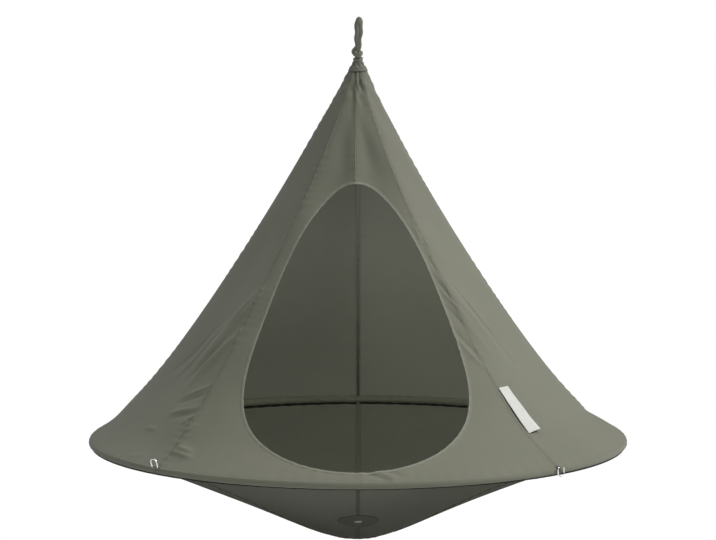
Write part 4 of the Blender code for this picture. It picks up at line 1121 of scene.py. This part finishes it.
class TENT_OT_canopy(bpy.types.Operator):
    """Canopy cloth that goes over the hoop, two gores at a time, with the doorway cut in the front one"""

    bl_idname = "hanging_tent.canopy"
    bl_label = "Canopy"

    def execute(self, context):
        sizes, shape = tent_of(context)
        reach = sizes.hem_radius + CANOPY_OFF_HEM
        share = np.linspace(0.0, 1.0, 10)[:, None]
        for name, first, columns in (("front", -1, 104), ("right", 1, 86), ("rear", 3, 54), ("left", -3, 86)):
            azimuth, height = canopy_grid(shape, first * GORE_ANGLE, columns)
            keep = np.ones(np.subtract(azimuth.shape, 1), bool)
            if name == "front":
                azimuth, height, keep = shape.snapped_to_door(azimuth, height, 0.0045)
            sweep = EDGE_SWEEP - EDGE_SIDES * np.sin(azimuth[:1]) ** 2
            polar = np.radians(EDGE_START - sweep * (1 - share))
            below = azimuth[:1].repeat(len(polar), 0)
            pucker = np.maximum(shape.relief(azimuth[:1], height[:1]), -0.0003) * eased((polar + 0.9) / 1.6)
            skirt = shape.over_hoop(below, polar, reach + pucker)
            points = np.concatenate([skirt, shape.cloth(azimuth, height)])
            azimuth = np.concatenate([below, azimuth])
            along = np.concatenate([reach * (polar - 1.0), shape.slant(height)])
            far = np.concatenate([sizes.hoop_radius + 0 * below, shape.radius(height)])
            uv = pairs(seam_distance(azimuth) * corners(far), corners(along) + 0.021)
            keep = np.pad(keep, ((len(polar), 0), (0, 0)), constant_values=True)
            surface = Surface().grid(points, uv, keep=keep)
            piece = surface.piece(name + "_canopy_cloth", FINISHES["canopy"], FINISHES["lining"])
            thicken(piece, sizes.canvas_thickness, 0.0, 1)
            dress(piece, "tent", "canopy_canvas", *["canopy_" + GORE_NAMES[first + k] for k in (0, 1)])
        return {"FINISHED"}


class TENT_OT_canopy_seams(bpy.types.Operator):
    """Felled ridges outside the canopy's seams and the tapes inside them"""

    bl_idname = "hanging_tent.canopy_seams"
    bl_label = "Canopy seams"

    def execute(self, context):
        sizes, shape = tent_of(context)
        outer = (np.array([-1.0, -0.93, -0.75, -0.4, 0.0, 0.4, 0.75, 0.93, 1.0]), 0.0008, 0.0001)
        inner = (np.array([-0.6, -0.56, -0.4, -0.2, 0.0, 0.2, 0.4, 0.56, 0.6]), -0.0016, -0.0012)
        for name, (offsets, crown, edge), finish, slot in (
            ("canopy_ridges", outer, "ridge", "canopy_canvas"),
            ("canopy_seam_tapes", inner, "tape", "seam_tape"),
        ):
            surface = Surface()
            for index in range(GORES):
                low = sizes.door_top + DOOR_SEAM_GAP if index == 0 else shape.foot
                ridge_top = FRONT_RIDGE_TOP if index == 0 else RIDGE_TOP
                high = shape.neck if finish == "tape" else ridge_top
                half = sizes.seam_width * (0.25 if index == 0 else 0.5)
                slant = np.arange(shape.slant(low), shape.slant(high), SEAM_STEP)
                height = shape.height_at(slant)[:, None]
                seam = (index if index <= GORES / 2 else index - GORES) * GORE_ANGLE
                azimuth = seam + offsets * half / shape.radius(height)
                lift = edge + (crown - edge) * (1 - np.abs(offsets / offsets[-1]) ** RIDGE_ROUNDING)
                if finish == "ridge":
                    lift = lift - RIDGE_SINK * eased((height - high + RIDGE_SINK_RUN) / RIDGE_SINK_RUN)
                points = shape.cloth(azimuth, height, lift)
                surface.grid(points, pairs(half * (1 + offsets)[None], slant[:, None]))
            piece = thicken(surface.piece(name, FINISHES[finish]), RIDGE_THICKNESS)
            nodes = ["seam_tape_" + seam for seam in SEAM_NAMES] if finish == "tape" else []
            dress(piece, "tent", slot, *nodes)
        return {"FINISHED"}


class TENT_OT_door_binding(bpy.types.Operator):
    """Folded tape that binds the doorway's edge"""

    bl_idname = "hanging_tent.door_binding"
    bl_label = "Door binding"

    def execute(self, context):
        sizes, shape = tent_of(context)
        x, height = shape.door_edge(whole_turn(560), sizes.binding_width / 2).T
        azimuth = shape.azimuth_at(x, height)
        path, normal = shape.cloth(azimuth, height), shape.canopy_normal(azimuth, height)
        along = run_length(path)
        ripple = np.sin(TAU * along / BINDING_RIPPLE_LENGTH + 2 * np.sin(TAU * along / 0.21))
        path = path + BINDING_RIPPLE * ripple[:, None] * normal
        profile = strap_profile(sizes.binding_width, BINDING_THICKNESS, 28, BINDING_SQUARENESS)
        profile[:, 1] *= 1 - BINDING_ROLL * (profile[:, 0] / sizes.binding_width * 2)
        profiles = profile * pairs(1 + 0.05 * np.sin(TAU * along / 0.033 + 1.0), 1.0)[:, None]
        points = swept(path, normal, profiles, closed=True)
        surface = Surface().grid(points, swept_uv(path, profile, True), around=True, along=True)
        dress(surface.piece("doorway_binding", FINISHES["binding"]), "tent", "binding_tape", "door_binding")
        return {"FINISHED"}


class TENT_OT_label(bpy.types.Operator):
    """Blank woven strip beside the front right seam, with its foot curled off the cloth"""

    bl_idname = "hanging_tent.label"
    bl_label = "Label"

    def execute(self, context):
        sizes, shape = tent_of(context)
        share, across = np.linspace(0.0, 1.0, 91)[:, None], np.linspace(0.0, 1.0, 25)[None]
        height = shape.height_at(shape.slant(LABEL_HEIGHT) + sizes.label_length * share)
        edge = LABEL_FOOT + (LABEL_TOP - LABEL_FOOT) * share
        azimuth = edge + across * sizes.label_width / shape.radius(height)
        curl = LABEL_CURL * (1 - share) + LABEL_FOOT_CURL * np.clip(1 - share * 3, 0.0, 1.0) ** 2
        curl = curl * across + LABEL_BOW * np.sin(math.pi * across) * (1 - share)
        curl = curl + LABEL_RIPPLE * np.sin(TAU * share * 2.3)
        points = shape.cloth(azimuth, height, LABEL_LIFT + np.maximum(curl, 0.0))
        straight = points[:1] + share[..., None] * (points[-1:] - points[:1])
        points = points + LABEL_STRAIGHTNESS * (straight - points)
        uv = pairs(across * sizes.label_width, share * sizes.label_length)
        label = Surface().grid(points, uv).piece("blank_label", FINISHES["label"])
        dress(thicken(label, LABEL_THICKNESS), "tent", "label_weave", "label_strip")
        return {"FINISHED"}


class TENT_OT_bowl(bpy.types.Operator):
    """Bowl cloth and its felled seams"""

    bl_idname = "hanging_tent.bowl"
    bl_label = "Bowl"

    def execute(self, context):
        sizes, shape = tent_of(context)
        columns = 48
        azimuth = GORE_ANGLE * np.arange(GORES * columns + 1) / columns
        radius = BOWL_TIP_RADIUS + (sizes.bowl_edge - BOWL_TIP_RADIUS) * np.linspace(0.0, 1.0, 96) ** 0.9
        azimuth, radius = np.meshgrid(azimuth, radius)
        lip_azimuth, polar = np.meshgrid(azimuth[0], np.radians(np.linspace(-86.0, -58.0, 5)))
        lip = shape.over_hoop(lip_azimuth, polar, sizes.hem_radius + BOWL_OFF_HEM + 0 * polar)
        points = np.concatenate([shape.bowl(azimuth, radius), lip])[:, :-1]
        far = corners(np.concatenate([radius, sizes.bowl_edge + 0.0116 * (polar + math.pi / 2)]))
        across = seam_distance(np.concatenate([azimuth, lip_azimuth])) * far
        uv = pairs(across, sizes.bowl_edge + BOWL_UPTURN - far)
        surface = Surface().grid(points, uv, around=True, caps=(True, False))
        bowl = surface.piece("bowl_cloth", FINISHES["bowl"], FINISHES["bowl_lining"])
        thicken(bowl, sizes.canvas_thickness, 0.0, 1)
        dress(bowl, "tent", "bowl_canvas", *["bowl_" + name for name in GORE_NAMES])
        offsets = np.array([-1.0, -0.9, -0.5, 0.0, 0.5, 0.9, 1.0])
        half = sizes.seam_width / 2
        for name, finish, side, crown, tip in (
            ("bowl_seams", "bowl_ridge", 1, 0.0009, 0.070),
            ("floor_seams", "floor_ridge", -1, -0.0011, 0.030),
        ):
            surface = Surface()
            for index in range(GORES):
                reach = np.linspace(sizes.bowl_edge - BOWL_SEAM_GAP, tip, 130)[::-1, None]
                lift = crown * (1 - 0.8 * np.abs(offsets) ** 6)
                ribbon = shape.bowl(index * GORE_ANGLE + side * offsets * half / reach, reach, lift)
                surface.grid(ribbon, pairs(half * (1 + offsets)[None], reach))
            piece = thicken(surface.piece(name, FINISHES[finish]), RIDGE_THICKNESS)
            dress(piece, "tent", "bowl_canvas")
        return {"FINISHED"}


class TENT_OT_bowl_patches(bpy.types.Operator):
    """Round patches under the bowl and the drain eyelet"""

    bl_idname = "hanging_tent.bowl_patches"
    bl_label = "Bowl patches and drain"

    def execute(self, context):
        sizes, shape = tent_of(context)
        for name, centre, radius, low, node in (
            ("tip_patch", 0.0, sizes.base_radius, 0.002, "base_patch"),
            ("drain_cloth_patch", -sizes.drain_reach, sizes.drain_radius, 0.0064, "drain_patch"),
        ):
            reach = np.linspace(low, radius, 26)[:, None]
            turn = whole_turn(120, True)
            flat = reach[..., None] * front(turn) + (0.0, centre, 0.0)
            azimuth, far = np.arctan2(flat[..., 0], -flat[..., 1]), np.hypot(flat[..., 0], flat[..., 1])
            ripple = PATCH_RIPPLE * (reach / radius) ** 3 * np.sin(17 * turn)
            points = shape.bowl(azimuth, far, PATCH_LIFT + ripple)
            uv = pairs(radius - reach, turn[None] * reach)
            closed = name == "tip_patch"
            surface = Surface().grid(points[:, :-1], uv, around=True, caps=(closed, False))
            piece = thicken(surface.piece(name, FINISHES["patch"]), PATCH_THICKNESS)
            dress(piece, "tent", "patch_canvas", node)
        self.add_eyelet(sizes, shape)
        return {"FINISHED"}

    def add_eyelet(self, sizes, shape):
        """A rolled ring through the drain: the outline (reach, rise) turned about the bowl's normal."""
        spot = shape.bowl(0.0, sizes.drain_reach)
        axis = unit(np.array([0.0, -shape.bowl_fall(sizes.drain_reach), -1.0]))
        outline = np.array(EYELET_OUTSIDE + EYELET_NECK + EYELET_INSIDE)
        ring = ray(whole_turn(72)) @ np.array([(1.0, 0.0, 0.0), np.cross(axis, (1.0, 0.0, 0.0))])
        points = spot + outline[:, 0, None, None] * ring + outline[:, 1, None, None] * axis
        uv = pairs(0.008 * whole_turn(72, True)[None], run_length(outline, True)[:, None])
        surface = Surface().grid(points, uv, around=True, along=True)
        dress(surface.piece("rolled_eyelet", FINISHES["eyelet"]), "tent", "ring_steel", "drain_eyelet")


class TENT_OT_rim_hem(bpy.types.Operator):
    """Gathered cloth sleeve round the rim hoop"""

    bl_idname = "hanging_tent.rim_hem"
    bl_label = "Rim hem"

    def execute(self, context):
        sizes, shape = tent_of(context)
        turn = whole_turn(28, True)
        around, azimuth = np.meshgrid(-turn, whole_turn(1080, True))
        (close, close_count), (wide, wide_count) = HEM_RIPPLES
        pull = close * np.sin(close_count * azimuth + 3 * np.sin(around) + 2 * np.sin(11 * azimuth))
        pull += wide * np.sin(wide_count * azimuth - 2 * np.sin(around + 1) + np.sin(7 * azimuth))
        reach = sizes.hem_radius + 0.0001 + pull
        points = shape.over_hoop(azimuth, around, reach)
        uv = pairs(sizes.hem_radius * turn[None], azimuth * sizes.hoop_radius)
        surface = Surface().grid(points[:-1, :-1], uv, around=True, along=True)
        hem = thicken(surface.piece("hoop_sleeve", FINISHES["hem"]), HEM_THICKNESS, -1.0)
        dress(hem, "tent", "hem_canvas", "hem_right", "hem_rear", "hem_left", "hem_front")
        return {"FINISHED"}


class TENT_OT_rim_rings(bpy.types.Operator):
    """Wire rings at the rim and the webbing tabs that hold them"""

    bl_idname = "hanging_tent.rim_rings"
    bl_label = "Rim rings"

    def execute(self, context):
        sizes, shape = tent_of(context)
        for name, degrees in RIM_RINGS.items():
            azimuth, lift = math.radians(degrees), RAISED_RINGS.get(name, 0.0)
            outwards, side = front(np.array(azimuth)), raised(ray(azimuth), 0.0)
            pivot = (sizes.hoop_radius + RING_PIVOT[0]) * outwards
            pivot[2] = shape.foot + RING_PIVOT[1] + shape.ring_z
            down = math.sin(lift) * outwards + (0.0, 0.0, -math.cos(lift))
            path = pivot + ring_outline(sizes) @ np.array([side, down])
            facing = np.broadcast_to(np.cross(side, down), path.shape)
            profile = sizes.wire_radius * ray(whole_turn(24))
            points, uv = swept(path, facing, profile, True), swept_uv(path, profile, True)
            surface = Surface().grid(points, uv, around=True, along=True)
            ring = surface.piece("wire_ring_" + name, FINISHES["steel"])
            dress(ring, "rim_ring_" + name, "ring_steel", "guy_ring_" + name)
            self.add_tab(name, pivot, outwards, side)
        return {"FINISHED"}

    def add_tab(self, name, pivot, outwards, side):
        """A webbing strap that comes from the hem and goes round the ring's bar and back."""
        bend = TAB_BEND * ray(np.linspace(math.pi - 0.25, -math.pi + 0.25, 40))
        upper = pairs(np.linspace(-0.0147, -0.0050, 12), 0.0007)
        flat = np.concatenate([upper, bend, upper[::-1] * (1, -1)])
        path = pivot + flat @ np.array([outwards, (0.0, 0.0, 1.0)])
        profile = strap_profile(TAB_WIDTH, TAB_THICKNESS, 24, 0.3)
        points = swept(path, np.cross(np.gradient(path, axis=0), side), profile)
        surface = Surface().grid(points, swept_uv(path, profile), around=True, caps=(True, True))
        tab = surface.piece("webbing_tab_" + name, FINISHES["webbing"])
        dress(tab, "tent", "seam_tape", "guy_tab_" + name)


def ring_outline(sizes):
    """Centre line of a rim ring, (across, down): a straight bar with round corners, legs and a half round."""
    half = sizes.ring_width / 2
    corner = RING_CORNER * -ray(np.linspace(math.pi / 2, 0.0, 9)) + (RING_CORNER - half, RING_CORNER)
    foot = half * ray(np.linspace(math.pi, 0.0, 41)) + (0.0, sizes.ring_height - half)
    bar = pairs(np.linspace(half - RING_CORNER, RING_CORNER - half, 9)[1:-1], 0.0)
    return np.concatenate([corner, foot, corner[::-1] * (-1, 1), bar])


class TENT_OT_hoop(bpy.types.Operator):
    """Four lengths of pole, the ferrules in their joints and the elastic cord inside them"""

    bl_idname = "hanging_tent.hoop"
    bl_label = "Hoop"

    def execute(self, context):
        sizes, shape = tent_of(context)
        quarter, gap = TAU / 4, FIT_GAP / (2 * sizes.hoop_radius)
        half = FERRULE_HALF / sizes.hoop_radius
        poles = ("pole_right_front", "pole_right_rear", "pole_left_rear", "pole_left_front")
        ferrules = ("ferrule_front", "ferrule_right", "ferrule_rear", "ferrule_left")
        for names, finish, outer, wall, low, high in (
            (poles, "pole", POLE_RADIUS, POLE_WALL, gap, quarter - gap),
            (ferrules, "ferrule", FERRULE_RADIUS, FERRULE_WALL, -half, half),
        ):
            surface = Surface()
            for start in quarter * np.arange(4):
                azimuth = start + np.linspace(low, high, 90 if finish == "pole" else 16)
                reach = np.repeat([outer, outer - wall], len(azimuth))
                azimuth = np.concatenate([azimuth, azimuth[::-1], azimuth[:1]])
                self.add_tube(surface, shape, azimuth, reach, 20)
            tubes = surface.piece("hoop_" + finish + "s", FINISHES[finish])
            dress(tubes, "tent", finish + "_aluminium", *names)
        surface = Surface()
        self.add_tube(surface, shape, whole_turn(240, True), np.full(240, CORD_RADIUS), 12, CORD_SAG)
        dress(surface.piece("elastic_cord", FINISHES["elastic"]), "tent", "elastic_cord", "shock_cord")
        return {"FINISHED"}

    def add_tube(self, surface, shape, azimuth, reach, count, sag=0.0):
        """Add a tube along the hoop: a ring of points at each azimuth, with its own reach from the centre
        line. The last azimuth closes the tube."""
        along, around = np.meshgrid(azimuth[:-1], -whole_turn(count), indexing="ij")
        points = shape.over_hoop(along, around, reach[:, None] + 0 * around) - (0.0, 0.0, sag)
        uv = pairs(reach[0] * whole_turn(count, True)[None], azimuth[:, None] * shape.sizes.hoop_radius)
        surface.grid(points, uv, around=True, along=True)


class TENT_OT_cloth_facts(bpy.types.Operator):
    bl_idname = "hanging_tent.cloth_facts"
    bl_label = "Cloth facts"

    def execute(self, context):
        return {"FINISHED"}


def make_finishes(scene):
    """Every finish of the tent by a plain name. seam, foot and felled are distances of stitch rows."""
    sizes, colours = scene.tent_sizes, scene.tent_colours
    pick = {name: tuple(getattr(colours, name)) for name in TentColours.__annotations__}
    thread, light, bowl_light = pick["thread"], pick["canopy_light"], pick["bowl_light"]
    seam, foot, felled = (0.0070,), (0.0045,), (0.0018, 0.0072)
    # Painted shade: the fade darkens the canopy lining towards the top, the rim shade darkens the bowl just
    # under the hoop, and the join shadow darkens the bowl lining along the sleeve
    fade, painted_rim_shade, painted_join_shadow = (0.62, 1.0, 0.32), (0.015, 0.5), (0.024, 0.06)
    return {
        "canopy": canvas("canopy_canvas", pick["canopy"], sizes, thread, seam, foot, light),
        # The lining's light colour is painted light inside, with painted shade towards the top
        "lining": canvas("canopy_lining", pick["lining"], sizes, thread, seam, foot, light, fade=fade),
        "ridge": tape("ridge_canvas", pick["ridge"], sizes, thread, felled),
        # The bowl's dark outer colour is painted shade of the underside, and its lining's light colour is
        # painted light inside
        "bowl": canvas("bowl_canvas", pick["bowl"], sizes, pick["patch"], seam, (), bowl_light, painted_rim_shade, 0.0),
        "bowl_lining": canvas(
            "bowl_lining", pick["bowl_lining"], sizes, thread, seam, (), bowl_light, painted_join_shadow
        ),
        "bowl_ridge": tape("bowl_ridge_canvas", pick["patch"], sizes, pick["bowl"], felled, 0.0),
        "floor_ridge": tape("floor_ridge_canvas", pick["bowl_lining"], sizes, thread, felled),
        # The hoop sleeve: painted shade on its outward half, painted light on its inner half
        "hem": sleeve_canvas_painted_light_and_shade("hem_canvas", pick["hem"], pick["hem_lining"], sizes),
        "patch": canvas("patch_canvas", pick["patch"], sizes, pick["bowl"], (0.0040,), sheen=0.0),
        "collar": canvas("collar_canvas", pick["collar"], sizes, thread),
        "binding": tape("binding_tape", pick["binding"], sizes, thread, (0.0030,)),
        "tape": tape("seam_tape", pick["tape"], sizes, thread, (0.0020,)),
        "webbing": tape("webbing", pick["webbing"], sizes, thread),
        "label": label_finish("label_weave", pick["label"]),
        "rope": rope_finish("rope_olive", pick["rope"], sizes),
        "steel": metal("ring_steel", pick["steel"], 0.24),
        "eyelet": metal("eyelet_steel", pick["eyelet"], 0.34),
        "pole": metal("pole_aluminium", pick["aluminium"], 0.35, 0.3),
        "ferrule": metal("ferrule_aluminium", pick["aluminium"], 0.30, 0.3),
        "elastic": elastic_finish("elastic_cord", pick["elastic"]),
    }


class TENT_PT_panel(bpy.types.Panel):
    """Sidebar panel that lists the tent's pieces and settings"""

    bl_idname = "TENT_PT_panel"
    bl_label = "Hanging tent"
    bl_space_type = "VIEW_3D"
    bl_region_type = "UI"
    bl_category = "Tent"

    def draw(self, context):
        layout = self.layout
        for operator in OPERATORS:
            layout.operator(operator.bl_idname)
        for group in (context.scene.tent_sizes, context.scene.tent_colours):
            box = layout.box()
            for name in type(group).__annotations__:
                box.prop(group, name)


OPERATORS = (
    TENT_OT_stage,
    TENT_OT_rope_loop,
    TENT_OT_rope_knot,
    TENT_OT_neck_collar,
    TENT_OT_canopy,
    TENT_OT_canopy_seams,
    TENT_OT_door_binding,
    TENT_OT_label,
    TENT_OT_bowl,
    TENT_OT_bowl_patches,
    TENT_OT_rim_hem,
    TENT_OT_rim_rings,
    TENT_OT_hoop,
    TENT_OT_cloth_facts,
)
CLASSES = (TentSizes, TentColours, *OPERATORS, TENT_PT_panel)


def register():
    for entry in CLASSES:
        bpy.utils.register_class(entry)
    bpy.types.Scene.tent_sizes = bpy.props.PointerProperty(type=TentSizes)
    bpy.types.Scene.tent_colours = bpy.props.PointerProperty(type=TentColours)


def unregister():
    del bpy.types.Scene.tent_sizes
    del bpy.types.Scene.tent_colours
    for entry in reversed(CLASSES):
        bpy.utils.unregister_class(entry)


def main():
    """Build every piece in order."""
    register()
    FINISHES.update(make_finishes(bpy.context.scene))
    bpy.ops.hanging_tent.stage()
    bpy.ops.hanging_tent.rope_loop()
    bpy.ops.hanging_tent.rope_knot()
    bpy.ops.hanging_tent.neck_collar()
    bpy.ops.hanging_tent.canopy()
    bpy.ops.hanging_tent.canopy_seams()
    bpy.ops.hanging_tent.door_binding()
    bpy.ops.hanging_tent.label()
    bpy.ops.hanging_tent.bowl()
    bpy.ops.hanging_tent.bowl_patches()
    bpy.ops.hanging_tent.rim_hem()
    bpy.ops.hanging_tent.rim_rings()
    bpy.ops.hanging_tent.hoop()
    bpy.ops.hanging_tent.cloth_facts()


if __name__ == "__main__":
    main()
